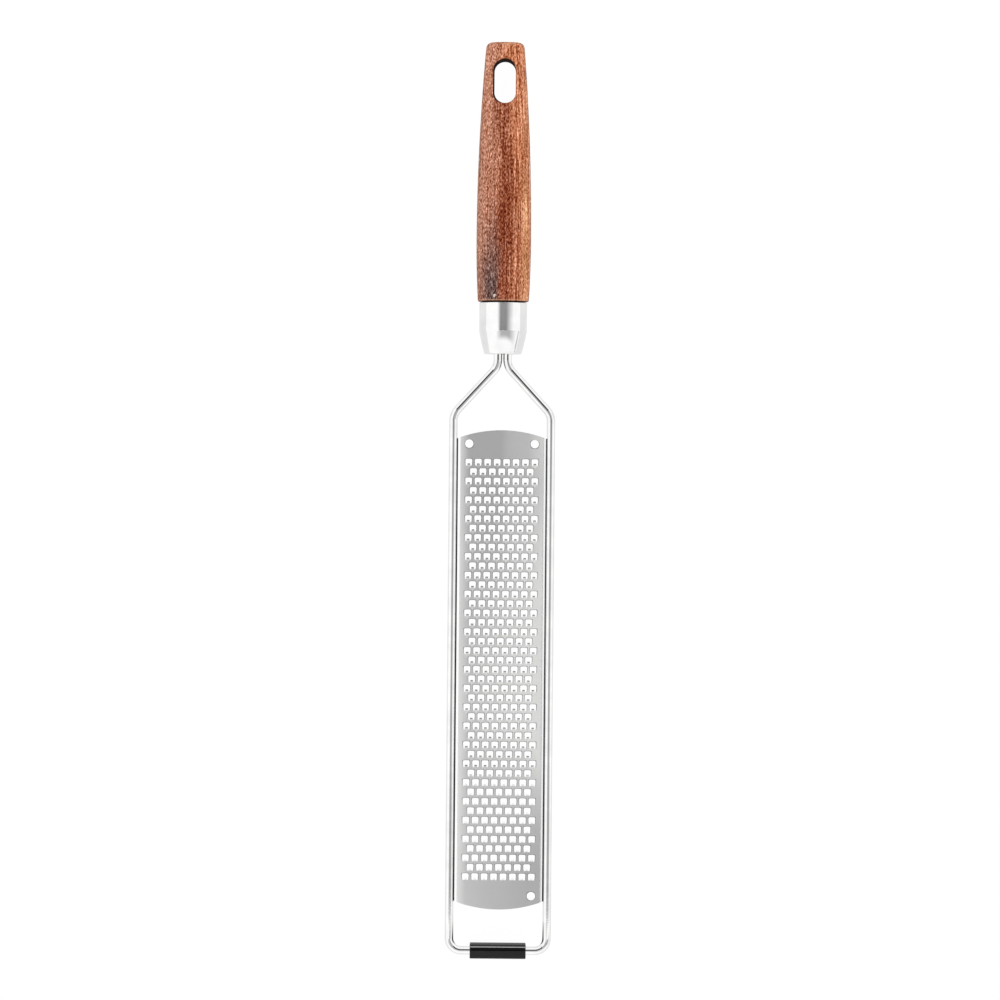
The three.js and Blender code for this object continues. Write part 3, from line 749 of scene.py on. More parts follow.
def turned_handle(look):
    """Handle: oval rings round the axis, pressed in at the nick by a bell curve, with a block of the grid on the
    front and the back given to the slot."""
    rings, slot_first, slot_last = handle_rings()
    grid = oval_rings(*rings.T, HANDLE_COLUMNS)
    nick = np.linalg.norm(grid - np.array(NICK_PLACE), axis=-1)
    grid[..., 2] -= NICK_DEPTH * np.exp(-(nick / NICK_REACH) ** 2)
    poles = np.array([(0, BORE_END_Y, AXIS_Z), (0, HANDLE_TOP_Y, AXIS_Z)])
    points, (quads, *fans) = capped_tube(grid, poles)
    row, column = np.divmod(np.arange(len(quads)), HANDLE_COLUMNS)
    in_slot = within(column, SLOT_COLUMNS) | within(HANDLE_COLUMNS - 1 - column, SLOT_COLUMNS)
    quads = quads[~(within(row, (slot_first, slot_last)) & in_slot)]
    index = numbered(0, grid)
    rows = np.arange(slot_first, slot_last + 1)
    columns = np.arange(SLOT_COLUMNS[0], SLOT_COLUMNS[1] + 1)
    front = block_border(index, rows, columns)
    back = block_border(index, rows, -columns % HANDLE_COLUMNS)
    through = slot_rings(points[front])[:-1]
    slot_quads = ring_quads(joined(front[None], numbered(len(points), through), back[None]))
    marks = joined(np.zeros(len(points)), slot_painted_shade(through).ravel())
    make_piece("turned_handle", joined(points, through.reshape(-1, 3)), [quads, slot_quads[:, ::-1], *fans], look,
               "wooden_handle", sharp_angle=50, marks={"slot": marks})


# Ferrule

FERRULE_COLUMNS = 96
FERRULE_ROUND_STEPS = 5
TAPER_RINGS = 14
TAPER_LAST = 0.95
SLEEVE_RINGS = 9
INNER_RINGS = 8
CREASE_STEP = 0.15
SLEEVE_START = 0.6
SLEEVE_STOP = 0.04


def passage_outline():
    """Straight sides and half-round ends, walked at an even pace from the right end."""
    straight, quarter = NECK_X, np.pi * PASSAGE_RADIUS / 2
    around = 4 * straight + 4 * quarter
    pace = np.arange(FERRULE_COLUMNS) / FERRULE_COLUMNS * around
    stops = np.cumsum([0, quarter, 2 * straight, 2 * quarter, 2 * straight, quarter])
    turn = np.interp(pace, stops, np.array([0, 0.5, 0.5, 1.5, 1.5, 2]) * np.pi)
    centre = np.interp(pace, stops, [straight, straight, -straight, -straight, straight, straight])
    return centre + PASSAGE_RADIUS * np.cos(turn), PASSAGE_RADIUS * np.sin(turn)


def taper_radius(share):
    """Radius from the closed end to the crease: a straight cone bowed out by a parabola."""
    cone = FERRULE_END_RADIUS + (FERRULE_RADIUS - FERRULE_END_RADIUS) * share
    return cone + FERRULE_BULGE * 4 * share * (1 - share)


def polished_ferrule(look):
    """Ferrule: rings of one radius each, out over the end's edge, up the bowed taper, past the crease,
    along the sleeve, in over the mouth and back down inside, with the wires' passage at both ends."""
    quarter = quarter_turn(FERRULE_ROUND_STEPS)
    end, mouth = FERRULE_END_ROUND, FERRULE_MOUTH_ROUND
    taper = CREASE_Y - FERRULE_END_Y
    share = np.linspace(end / taper, TAPER_LAST, TAPER_RINGS)
    inner_share = np.linspace(1, FERRULE_FLOOR / taper, INNER_RINGS)
    sleeve_y = np.linspace(CREASE_Y + SLEEVE_START, MOUTH_Y - mouth - SLEEVE_STOP, SLEEVE_RINGS)
    rows = joined(
        stacked(taper_radius(end / taper) - end * (1 - np.sin(quarter[:-1])),
                FERRULE_END_Y + end * (1 - np.cos(quarter[:-1]))),
        stacked(taper_radius(share), FERRULE_END_Y + share * taper),
        [(taper_radius(1 - CREASE_STEP / taper), CREASE_Y - CREASE_STEP), (FERRULE_RADIUS, CREASE_Y),
         (FERRULE_RADIUS, CREASE_Y + CREASE_STEP)],
        stacked(FERRULE_RADIUS, sleeve_y),
        [(FERRULE_RADIUS, MOUTH_Y - mouth)],
        stacked(FERRULE_RADIUS - mouth * (1 - np.cos(quarter[1:])), MOUTH_Y - mouth * (1 - np.sin(quarter[1:]))),
        [(FERRULE_RADIUS - FERRULE_WALL, MOUTH_Y)],
        stacked(taper_radius(inner_share) - FERRULE_WALL, FERRULE_END_Y + inner_share * taper),
    )
    radius, y = rows.T
    passage_x, passage_z = passage_outline()
    ends = np.array([[FERRULE_END_Y + FERRULE_FLOOR], [FERRULE_END_Y]])
    points = joined(oval_rings(y, radius, radius, FERRULE_COLUMNS), stacked(passage_x, ends, AXIS_Z + passage_z))
    faces = [grid_quads(len(points), FERRULE_COLUMNS, close_rows=True, close_columns=True)]
    make_piece("polished_ferrule", points.reshape(-1, 3), faces, look, "ferrule", sharp_angle=35)


# Rod

ROD_SIDES = 28
BEND_STEPS = 20

# Painted dark lines on the rod, painted shade and dark painted reflection: how far it must face the middle,
# at its lower end, its middle and its tip, and how soft
LINE_FACING = (0.75, 0.79)
TIP_FACING = 0.7
LINE_SOFTNESS = 0.06
LINE_END_STEP = 0.3
TWIN_REACH = 4
TWIN_SHARE = 0.8
TIP_FROM_SHEET = 4
TIP_FADE = 3


def rounded_line(corners):
    """Plan points of a bent line: each corner becomes an arc of its own radius that meets both runs."""
    plan = np.array([corner[:2] for corner in corners])
    stretches = []
    for number, (*_, radius) in enumerate(corners):
        if radius == 0:
            stretches.append(plan[number:number + 1])
            continue
        back, ahead = unit(plan[number - 1] - plan[number]), unit(plan[number + 1] - plan[number])
        half_angle = math.acos(float(back @ ahead)) / 2
        centre = plan[number] + unit(back + ahead) * radius / math.sin(half_angle)
        start = plan[number] + back * radius / math.tan(half_angle) - centre
        turn = np.sign(ahead[0] * back[1] - ahead[1] * back[0]) * (math.pi - 2 * half_angle)
        angle = math.atan2(start[1], start[0]) + turn * np.linspace(0, 1, BEND_STEPS + 1)
        stretches.append(centre + radius * stacked(np.cos(angle), np.sin(angle)))
    return joined(*stretches)


def bent_rod(look):
    """Rod: a circle carried along the loop, square to it, from one wire end to the other, with closed ends. Painted
    dark, as painted shade and dark painted reflection, are the sides that face the sheet, the twin wire in the
    neck, and the loop's inside at the tip."""
    upper, lower = SHEET_HIGH_Y - SHEET_END_RISE, SHEET_LOW_Y + SHEET_END_RISE
    tip_start = SHEET_LOW_Y - TIP_FROM_SHEET
    stops = [y + step for y in (upper, lower) for step in (LINE_END_STEP, -LINE_END_STEP)]
    left = [(-NECK_X, TANG_END_Y, 0), (-NECK_X, NECK_Y, NECK_BEND), (-RAIL_X, SHOULDER_Y, SHOULDER_BEND),
            *((-RAIL_X, y, 0) for y in (*stops, tip_start)), (-RAIL_X, END_RUN_Y, TIP_BEND)]
    line = rounded_line(left + [(-x, y, radius) for x, y, radius in reversed(left)])
    step = unit(np.gradient(line, axis=0))
    side = stacked(-step[:, 1], step[:, 0])
    angle = full_turn(ROD_SIDES)
    plan = line[:, None, :] + ROD_RADIUS * np.cos(angle)[None, :, None] * side[:, None, :]
    tube = stacked(plan[..., 0], plan[..., 1], AXIS_Z + ROD_RADIUS * np.sin(angle))
    points, faces = capped_tube(tube, stacked(*line[[0, -1]].T, AXIS_Z))
    x, y = line[:, :1], line[:, 1:]
    toward_middle = -np.sign(x) * np.cos(angle) * side[:, :1]
    facing = np.interp(y, [lower, SHEET_MIDDLE_Y], LINE_FACING)
    beside_twin = rise(NECK_X + TWIN_REACH - np.abs(x), 0, TWIN_REACH) * (y > SHOULDER_Y)
    beside = np.maximum((y > lower) & (y < upper), TWIN_SHARE * beside_twin)
    crevice_shade = rise(toward_middle - facing, 0, LINE_SOFTNESS) * beside
    # Painted shade on the loop's inside at the tip
    tip_shade = rise(tip_start - y, 0, TIP_FADE) * rise(toward_middle - TIP_FACING, 0, LINE_SOFTNESS)
    marks = joined(np.maximum(crevice_shade, tip_shade).ravel(), np.zeros(2))
    make_piece("bent_rod", points, faces, look, "wire_frame",
               sharp_angle=50, marks={"crevice_shade": marks})


# Toothed sheet

# Slope of the sheet, in degrees, at distances from its middle line: level, a soft roll, the fold, the side, a lip
FOLD_KEYS = np.array([(0, 0), (12.9, 0), (13.9, 4.5), (15.3, 6.5), (15.65, 14), (16.2, 25), (16.6, 45),
                      (17.25, 90), (17.5, 112), (18, 112), (18.25, 90), (18.6, 90), (19, 40),
                      (19.2, 40)])
FOLD_STEPS = 2001
EDGE_STATIONS = np.array([14.685, 15, 15.3, 15.5, 15.7, 15.95, 16.2, 16.4, 16.6, 16.8, 17, 17.25, 17.5, 18,
                          18.25, 18.6, 18.8, 19, 19.2])
# Spans across the sheet of the painted shade beside the rod and of the painted highlight on the roll
CREVICE_SHADE_SPAN = (17.08, 17.25)
ROLL_HIGHLIGHT_SPAN = (15.3, 15.7)
END_STEPS = 12
HOLE_ROWS = (2, 10)
HOLE_COLUMNS = (8.5, 15.4)
HOLE_PULL = (0.4, 0.8, 1)
HOLE_MARK = (0, 0.2, 1)
MIRROR = np.array([-1, 1])

# Half of a tooth's cell in half pitches and half of its opening in millimetres, both from the middle of the lower
# edge to the middle of the upper edge; marks of painted shade on the opening's rim, and of the painted highlight
# at the tongue's root on both
CELL_HALF = np.array([(0, -1), (0.5, -1), (1, -1), (1, -0.5), (1, 0), (1, 0.5), (1, 1), (0.5, 1), (0, 1)])
OPENING_HALF = np.array([(0, -1.2), (0.6, -1.2), (1.02, -1.2), (1.2, -0.85), (1.25, -0.1), (1.29, 0.6),
                         (1.24, 1.14), (0.9, 1.34), (0, 1.37)])
# Painted shade on the rims and painted highlight at the tongue roots
OPENING_MARK = np.array([0, 0.1, 0.4, 0.75, 0.9, *4 * [1]])
BEND_HIGHLIGHT_MARK = np.array([1, 0.7, 0.1, *6 * [0]])
BEND_BORDER_HIGHLIGHT_MARK = np.array([0.8, *8 * [0]])
CELL_POINTS = 16
CELL_STEPS = 4
ROOT_POINTS = np.array([31, 16, 17])

# Tongue of a tooth at three places from its root: distance along, half width, height of its top and of its
# underside, and mark of painted shade. Lower on the sheet the painted shade falls and a painted highlight grows.
# With its root a tongue is a small grid, whose point numbers run along its left side, its tip and its right side.
TONGUE = np.array([(-0.9, 0.54, 0.2, -0.26, 0.5), (-0.62, 0.5, 0.44, 0.1, 0.85), (-0.36, 0.44, 0.62, 0.45, 0.9)])
TONGUE_ACROSS = np.array([-1, 0, 1])
TONGUE_GRID = (4, 3)
TONGUE_SIDES = (0, 3, 6, 9), (9, 10, 11), (11, 8, 5, 2)
TONGUE_CROWN = 0.04
TONGUE_MARK_LOW = 0.1
TONGUE_GLEAM_LOW = 0.72
TONGUE_LOW = (SHEET_MIDDLE_Y - 37, SHEET_MIDDLE_Y - 47)
BEND_HIGHLIGHT_FADE = (SHEET_MIDDLE_Y - 45, SHEET_MIDDLE_Y - 15)

fold_fine = np.linspace(0, FOLD_KEYS[-1, 0], FOLD_STEPS)
fold_slope = np.radians(np.interp(fold_fine, *FOLD_KEYS.T))
fold_middle = (fold_slope[1:] + fold_slope[:-1]) / 2
fold_x = joined([0], np.cumsum(np.cos(fold_middle)) * fold_fine[1])
fold_z = SHEET_TOP_Z - joined([0], np.cumsum(np.sin(fold_middle)) * fold_fine[1])


def folded(across, along, lift):
    """Flat sheet coordinates carried onto the folded section: the distance across runs along the section's curve,
    whose x and z are running sums of its slope's cosine and sine, and lift stands square to it."""
    away = np.abs(across)
    slope = np.interp(away, fold_fine, fold_slope)
    x = np.sign(across) * (np.interp(away, fold_fine, fold_x) + lift * np.sin(slope))
    return stacked(x, along, np.interp(away, fold_fine, fold_z) + lift * np.cos(slope))


def end_inset(across):
    """How far the sheet's bowed end lies inside its highest point: the height of a circle's arc."""
    radius = (SHEET_HALF_WIDTH ** 2 + SHEET_END_RISE ** 2) / (2 * SHEET_END_RISE)
    x = np.minimum(np.interp(np.abs(across), fold_fine, fold_x), SHEET_HALF_WIDTH)
    return radius - np.sqrt(radius ** 2 - x ** 2)


def sheet_end(stations, end_y, direction, holes):
    """One end of the sheet in flat coordinates: lines from the teeth's field to the bowed end, with a block of the
    grid round each hole turned into rings that close in on the hole's circle."""
    field_edge = SHEET_MIDDLE_Y + direction * FIELD_Y
    share = np.linspace(0, 1, END_STEPS + 1)[:, None]
    bow = end_y - direction * end_inset(stations)
    flat = stacked(stations, field_edge + (bow - field_edge) * share)
    index = numbered(0, flat)
    quads = grid_quads(*index.shape)
    row, column = np.divmod(np.arange(len(quads)), len(stations) - 1)
    points, faces, marks = flat.reshape(-1, 2), [], np.zeros((index.size, 2))
    kept = np.ones(len(quads), bool)
    for side in holes:
        centre = np.array([side * HOLE_X, end_y - direction * HOLE_FROM_END])
        inside = np.flatnonzero(within(side * stations, HOLE_COLUMNS))
        border = block_border(index, np.arange(HOLE_ROWS[0], HOLE_ROWS[1] + 1), inside)
        kept &= ~(within(row, HOLE_ROWS) & within(column, inside[[0, -1]]))
        reach = points[border] - centre
        distance = np.linalg.norm(reach, axis=-1, keepdims=True)
        pull = np.array(HOLE_PULL)[:, None, None]
        rings = centre + reach / distance * (distance + (HOLE_RADIUS - distance) * pull)
        faces.append(ring_quads(joined(border[None], numbered(len(points), rings))))
        points = joined(points, rings.reshape(-1, 2))
        marks = joined(marks, np.repeat([(mark, 0) for mark in HOLE_MARK], len(border), axis=0))
    return points, joined(quads[kept], *faces), marks


def both_halves(half, sign=1):
    """A half outline, or its marks, and back along its mirror image."""
    return joined(half, half[-2:0:-1] * sign)


def row_y(row):
    """Middle of a row of teeth along the sheet."""
    return SHEET_MIDDLE_Y + (row - (TOOTH_ROWS - 1) / 2) * PITCH_ALONG


def crossings(across, along):
    """Points where lines at places across and along meet, row by row."""
    return np.stack(np.meshgrid(across, along), axis=-1).reshape(-1, 2)


def repeated(starts, points, quads, marks):
    """Points, quads and marks of one pattern that is set down at each start."""
    numbers = np.arange(len(starts))[:, None, None] * len(points) + quads
    return (starts[:, None] + points).reshape(-1, 2), numbers.reshape(-1, 4), np.tile(marks, (len(starts), 1))


def tooth_cells():
    """Field of the teeth in flat coordinates: each tooth has a rectangle of its own whose sixteen border points are
    joined to the sixteen points of its opening, and every other row has a plain half rectangle at each end. Returns
    the teeth's centres, and points, quads and marks of the rectangles and of the plain halves."""
    half_across, half_along = PITCH_ACROSS / 2, PITCH_ALONG / 2
    outline = joined(both_halves(CELL_HALF, MIRROR) * [half_across, half_along], both_halves(OPENING_HALF, MIRROR))
    marks = stacked(joined(np.zeros(CELL_POINTS), both_halves(OPENING_MARK)),
                    joined(both_halves(BEND_BORDER_HIGHLIGHT_MARK), both_halves(BEND_HIGHLIGHT_MARK)))
    row, column = np.divmod(np.arange(TOOTH_ROWS * TOOTH_COLUMNS), TOOTH_COLUMNS)
    short = row % 2
    x = (column - (TOOTH_COLUMNS - 1 - short) / 2) * PITCH_ACROSS
    centres = stacked(x, row_y(row))[column < TOOTH_COLUMNS - short]
    cells = repeated(centres, outline, ring_quads(np.arange(2 * CELL_POINTS).reshape(2, CELL_POINTS)), marks)
    half_cell = crossings(np.linspace(0, half_across, CELL_STEPS // 2 + 1),
                          np.linspace(-half_along, half_along, CELL_STEPS + 1))
    starts = crossings([-FIELD_X, FIELD_X - half_across], row_y(np.arange(1, TOOTH_ROWS, 2)))
    half_quads = grid_quads(CELL_STEPS + 1, CELL_STEPS // 2 + 1)
    return centres, cells, repeated(starts, half_cell, half_quads, np.zeros(half_cell.shape))


def merged(parts):
    """Points, faces and marks of several parts as one. Points that lie on one another become one, and faces are
    renumbered and turned the same way round."""
    points, marks = joined(*(part[0] for part in parts)), joined(*(part[2] for part in parts))
    offsets = np.cumsum([0] + [len(part[0]) for part in parts[:-1]])
    _, first, number = np.unique(np.round(points, 4), axis=0, return_index=True, return_inverse=True)
    number = number.ravel()
    most = np.zeros((len(first), 2))
    np.maximum.at(most, number, marks)
    flat = points[first]
    faces = number[joined(*(part[1] + offset for part, offset in zip(parts, offsets)))]
    a, b, c, d = (flat[faces[:, corner]] for corner in range(4))
    area = (c - a)[:, 0] * (d - b)[:, 1] - (c - a)[:, 1] * (d - b)[:, 0]
    return flat, np.where(area[:, None] > 0, faces, faces[:, ::-1]), most, number


def open_edges(faces):
    """Directed edges that have no partner the other way: the outline, the holes and the openings."""
    edges = np.stack([faces, np.roll(faces, -1, axis=1)], axis=-1).reshape(-1, 2)
    size = faces.max() + 1
    forward = edges[:, 0] * size + edges[:, 1]
    return edges[~np.isin(forward, edges[:, 1] * size + edges[:, 0])]


def toothed_sheet(look):
    """Sheet: one flat pattern of quads, doubled by the sheet's thickness, walled along its open edges, with a tongue
    on each opening's lower edge, and folded at its long sides. Its marks are painted shade on the cut rims and
    tongue tips, painted highlights at the tongues' roots, painted shade in the narrow gap beside the rod, and the
    painted highlight on the roll and on the lower tongues."""
    centres, cells, plain = tooth_cells()
    side = joined([FIELD_X], EDGE_STATIONS)
    steps = SHEET_MIDDLE_Y + np.linspace(-FIELD_Y, FIELD_Y, CELL_STEPS * TOOTH_ROWS + 1)
    margin = crossings(side, steps)
    margin_rest = grid_quads(len(steps), len(side)), np.zeros(margin.shape)
    field = np.linspace(-FIELD_X, FIELD_X, CELL_STEPS * TOOTH_COLUMNS + 1)
    stations = joined(-EDGE_STATIONS[::-1], field, EDGE_STATIONS)
    flat, quads, marks, number = merged([
        cells, plain, (margin, *margin_rest), (margin * MIRROR, *margin_rest),
        sheet_end(stations, SHEET_HIGH_Y, 1, (-1, 1)), sheet_end(stations, SHEET_LOW_Y, -1, (1,))])
    count = len(flat)
    edges = open_edges(quads)
    roots = number[np.arange(len(centres))[:, None] * 2 * CELL_POINTS + ROOT_POINTS]
    root_edges = joined(roots[:, [1, 0]], roots[:, [2, 1]])
    walled = ~np.isin(edges[:, 0] * count + edges[:, 1], root_edges[:, 0] * count + root_edges[:, 1])
    start, end = edges[walled].T
    walls = np.stack([end, start, start + count, end + count], axis=-1)

    reach, half_width, top, under, tongue_mark = TONGUE.T
    tongue_across = centres[:, 0, None, None] + half_width[:, None] * TONGUE_ACROSS
    shape = tongue_across.shape
    tongue_along = np.broadcast_to(centres[:, 1, None, None] + reach[:, None], shape)
    crown = TONGUE_CROWN * (1 - TONGUE_ACROSS ** 2)
    tongue_lift = np.stack([np.broadcast_to(height[:, None] + crown, shape) for height in (top, under)])
    tongue_numbers = 2 * count + np.arange(tongue_lift.size).reshape(tongue_lift.shape)
    skins = [np.concatenate([(roots + layer * count)[:, None, :], tongue_numbers[layer]], axis=1)
             .reshape(len(roots), -1) for layer in (0, 1)]
    upper, lower = (skin[:, grid_quads(*TONGUE_GRID)].reshape(-1, 4) for skin in skins)

    def tongue_wall(line):
        """Quads down from a line of points on a tongue's top to the same line on its underside."""
        high, low = (skin[:, line] for skin in skins)
        return np.stack([high[:, :-1], high[:, 1:], low[:, 1:], low[:, :-1]], axis=-1).reshape(-1, 4)

    faces = [quads, quads[:, ::-1] + count, walls, upper, lower[:, ::-1], *map(tongue_wall, TONGUE_SIDES)]
    tongue = stacked(tongue_across, tongue_along).reshape(-1, 2)
    across, along = joined(flat, flat, tongue, tongue).T
    lift = joined(np.zeros(count), np.full(count, -SHEET_THICKNESS), tongue_lift.ravel())
    lowness = rise(tongue_along, *TONGUE_LOW)
    tongue_marks = (tongue_mark[:, None] * (1 - (1 - TONGUE_MARK_LOW) * lowness)).ravel()
    rim = joined(marks[:, 0], marks[:, 0], tongue_marks, tongue_marks)
    bend_highlight = joined(marks[:, 1] * rise(flat[:, 1], *BEND_HIGHLIGHT_FADE), np.zeros(count + 2 * len(tongue_marks)))
    crevice_shade = rise(np.abs(across), *CREVICE_SHADE_SPAN) * (lift == 0)
    roll = rise(np.abs(across), *ROLL_HIGHLIGHT_SPAN)
    # Painted highlight on the lower tongues
    roll[2 * count:] = np.tile(TONGUE_GLEAM_LOW * lowness.ravel(), 2)
    make_piece("toothed_sheet", folded(across, along, lift), faces, look, "grating_plate",
               sharp_angle=35, marks={"rim": rim, "bend_highlight": bend_highlight, "crevice_shade": crevice_shade, "roll": roll})


# Welds

WELD_RINGS = 33
WELD_SIDES = 16
WELD_SWELL = 0.92
WELD_ROOT = 0.35
RIPPLE = 0.07
RIPPLE_HALF_WAVES = 11


def weld_bead(name, look, node):
    """Weld: an oval ring carried along the rail, drawn in at both ends by a root of a circle, and rippled."""
    low, high = box_mm(node)
    middle, half = (low + high) / 2, (high - low) / 2
    share = np.linspace(-1, 1, WELD_RINGS)[1:-1]
    ripple = 1 + RIPPLE * np.cos(share * RIPPLE_HALF_WAVES * np.pi)
    swell = WELD_SWELL * (1 - share ** 2) ** WELD_ROOT * ripple
    rings = oval_rings(middle[1] + half[1] * share, half[0] * swell, half[2] * swell, WELD_SIDES,
                       middle[0], middle[2])
    points, faces = capped_tube(rings, middle + np.array([(0, -half[1], 0), (0, half[1], 0)]))
    make_piece(name, points, faces, look, node, sharp_angle=60)


# Foot

FOOT_STEPS = 6
FOOT_END_STEPS = 5
FOOT_COLUMNS = 13
FOOT_FLAT_HALF = 9
TIP_FACE_HEIGHTS = (9, 6, 3)
BASE_POINTS = 5
BASE_FROM_TIP = 1.3
BASE_FROM_INNER = 1.6

# Top of the foot from its plate side: distance in, distance under the highest point, mark of the painted
# highlight along the ridge and mark of the painted shade in the groove
FOOT_TOP = np.array([
    (0, 5, 0, 0), (0, 0.9, 0, 0), (0.1, 0.58, 0, 0), (0.35, 0.28, 0, 0), (0.65, 0.06, 0.4, 0),
    (0.82, 0, 1, 0), (1.02, 0.03, 0.9, 0), (1.12, 0.4, 0, 1), (1.35, 0.95, 0, 1),
    (1.95, 0.95, 0, 1), (2.25, 0.4, 0, 0.9), (2.5, 0.14, 0, 0.2), (2.9, 0.1, 0, 0), (4, 0.1, 0, 0),
])


def foot_outline():
    """Section of the foot across the rod: rounded lower corners, a slightly drafted face on the plate's side, a fine
    ridge along its eased top edge with a groove behind, a flat top and a rounded tip edge. Returns y, z and marks."""
    turn = quarter_turn(FOOT_STEPS)
    low, tip = FOOT_LOW_ROUND, FOOT_TIP_ROUND
    flat_z = FOOT_TOP_Z - FOOT_TOP[-1, 1]
    corner_in = stacked(FOOT_INNER_Y - FOOT_DRAFT - low + low * np.sin(turn), low - low * np.cos(turn))
    top = stacked(FOOT_INNER_Y - FOOT_TOP[:, 0], FOOT_TOP_Z - FOOT_TOP[:, 1])
    corner_tip = stacked(FOOT_TIP_Y + tip - tip * np.sin(turn), flat_z - tip + tip * np.cos(turn))
    corner_out = stacked(FOOT_TIP_Y + low - low * np.cos(turn), low - low * np.sin(turn))
    base = stacked(np.linspace(FOOT_TIP_Y + BASE_FROM_TIP, FOOT_INNER_Y - BASE_FROM_INNER, BASE_POINTS), 0)
    outline = joined(corner_in, top, corner_tip, stacked(FOOT_TIP_Y, TIP_FACE_HEIGHTS), corner_out, base)
    marks = np.zeros((len(outline), 2))
    marks[len(corner_in):len(corner_in) + len(top)] = FOOT_TOP[:, 2:]
    return outline, marks


def foot_block(look):
    """Foot: its section carried across the grater with rounded end edges, in over both end faces to the rod's
    passage, and back through the passage."""
    outline, outline_marks = foot_outline()
    step = np.roll(outline, -1, axis=0) - np.roll(outline, 1, axis=0)
    inward = unit(stacked(-step[:, 1], step[:, 0]))
    turn = quarter_turn(FOOT_END_STEPS)
    reach = FOOT_HALF_WIDTH - FOOT_END_ROUND + FOOT_END_ROUND * np.cos(turn)
    inset = FOOT_END_ROUND * (1 - np.sin(turn))
    inset = joined(inset, np.zeros(FOOT_COLUMNS), inset[::-1])
    skin = outline[None] + inward[None] * inset[:, None, None]
    centre = np.array([END_RUN_Y, AXIS_Z])
    passage = centre + (ROD_RADIUS + FOOT_PLAY) * unit(outline - centre)
    section = joined(skin, np.broadcast_to(passage, (2, *passage.shape)))
    x = joined(-reach, np.linspace(-FOOT_FLAT_HALF, FOOT_FLAT_HALF, FOOT_COLUMNS), reach[::-1],
               [FOOT_HALF_WIDTH, -FOOT_HALF_WIDTH])
    points = stacked(x[:, None], section[..., 0], section[..., 1])
    faces = [grid_quads(*section.shape[:2], close_rows=True, close_columns=True)]
    ridge, groove = np.tile(outline_marks, (len(section), 1)).T
    make_piece("foot_block", points.reshape(-1, 3), faces, look, "rubber_foot",
               sharp_angle=45, marks={"ridge": ridge, "groove": groove})


# The pieces. Polish is its lines per millimetre across and along, and its roughness.
FERRULE_POLISH = (2.2, 0.3, 0.05)
ROD_POLISH = (3, 3, 0.022)

turned_handle(oiled_wood())
polished_ferrule(polished_steel("ferrule_polish", *FERRULE_POLISH))
bent_rod(polished_steel("rod_polish", *ROD_POLISH))
toothed_sheet(satin_sheet())
foot_block(black_rubber())
bead_look = weld_metal()
for side_name in ("left", "right"):
    for bead_number in range(1, WELDS_PER_SIDE + 1):
        weld_bead(f"bead_{side_name}_{bead_number}", bead_look, f"weld_{side_name}_{bead_number}")
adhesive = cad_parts["tang_adhesive"].data.materials
adhesive.clear()
adhesive.append(set_adhesive())


# Studio: white floor, white surroundings with a dim band overhead, and a camera straight above

SURROUND = 1.35
DIM_MIDDLE = 0.42
DIM_SIDE = 0.52
DARK = 0.05
WHITE = (1, 1, 1, 1)

FLOOR_MATT = (0.95, 0.95, 0.95, 1)
FLOOR_IN_METAL = 0.88
FLOOR_SEEN = 1.025
FLOOR_OWN_WHITE = 0.95
FLOOR_REACH = 4
FLOOR_Z = -0.0002


def studio_floor():
    """Pale floor just under the part: mostly its own white to the eye and to shiny metal, and a plain matt white
    to all other light, so that it keeps a soft shadow."""
    look = bpy.data.materials.new("studio_floor")
    tree = emptied(look)
    path = put(tree, "LightPath").outputs
    camera, glossy, passing = (Field(tree, path[f"Is {kind} Ray"]) for kind in ("Camera", "Glossy", "Transmission"))
    matt = Field(tree, put(tree, "BsdfDiffuse", {"Color": FLOOR_MATT}).outputs[0])
    strength = camera.ramp(0, 1, FLOOR_IN_METAL, FLOOR_SEEN)
    white = matt.through("Emission", {"Color": WHITE, "Strength": strength})
    share = camera.most(glossy.most(passing)) * FLOOR_OWN_WHITE
    mixed = matt.through("MixShader", {0: share, 1: matt, 2: white})
    feed(tree, put(tree, "OutputMaterial").inputs["Surface"], mixed)
    mesh = bpy.data.meshes.new("floor")
    corners = ((-1, -1), (1, -1), (1, 1), (-1, 1))
    mesh.from_pydata([(x * FLOOR_REACH, y * FLOOR_REACH, FLOOR_Z) for x, y in corners], [], [(0, 1, 2, 3)])
    mesh.materials.append(look)
    floor = added("floor", mesh)


# Soft steps of the studio over degrees: across the grater, along it, and tilt out of the upright plane across it
LOW_TILT = (-8, -12)
HIGH_TILT = (1.5, 1.7)
SHIFT_FAR_DOWN = (-50, -60)
SHIFT_LOWER = (1.6, 1.4)
SHIFT_LOW = (-2.4, -3.4)
SHIFT_LOWEST = (0, 1, 1, 0.3)
FAR_DOWN_SHIFTS = 3.2
SHIFT_DEGREES = -13
FADE = (17, 52, 0.97, 0)
FADE_HIGH = (1.4, 1.7, 0.3, 1)
FADE_DOWN = (-12, -6, 1, 0.3)
RIGHT_EDGE = (21, 16)
HIGH_SOFTNESS = 0.5
LEFT_START = (0, 1, -21, -36)
LEFT_END = (0, 1, -16, -8)
BAND_LOW_END = (-78, -68)
BAND_LOW_TILT = (-24, -20)
BAND_HIGH_END = (46, 36)
GAP_TOP = (-4.36, -4.29)
GAP_MIDDLE = (5, 3)
GAP_WIDENING = 5
GAP_BOTTOM = (-5, -5.4)
DIM_CHANGE = (-0.5, 0.9, DIM_SIDE, DIM_MIDDLE)
DIM_DOWN = (-20, -12, 0.08, 0)
STRIP_BOTTOM = (3.2, 4.6)
STRIP_TOP = (29, 22)
STRIP_SLANT = -0.9
STRIP_SIDE = (-2.2, -0.8)
HAIRLINE_BOTTOM = (0.95, 1.1)
HAIRLINE_TOP = (1.62, 1.5)
HAIRLINE_SIDE = (21, 15)


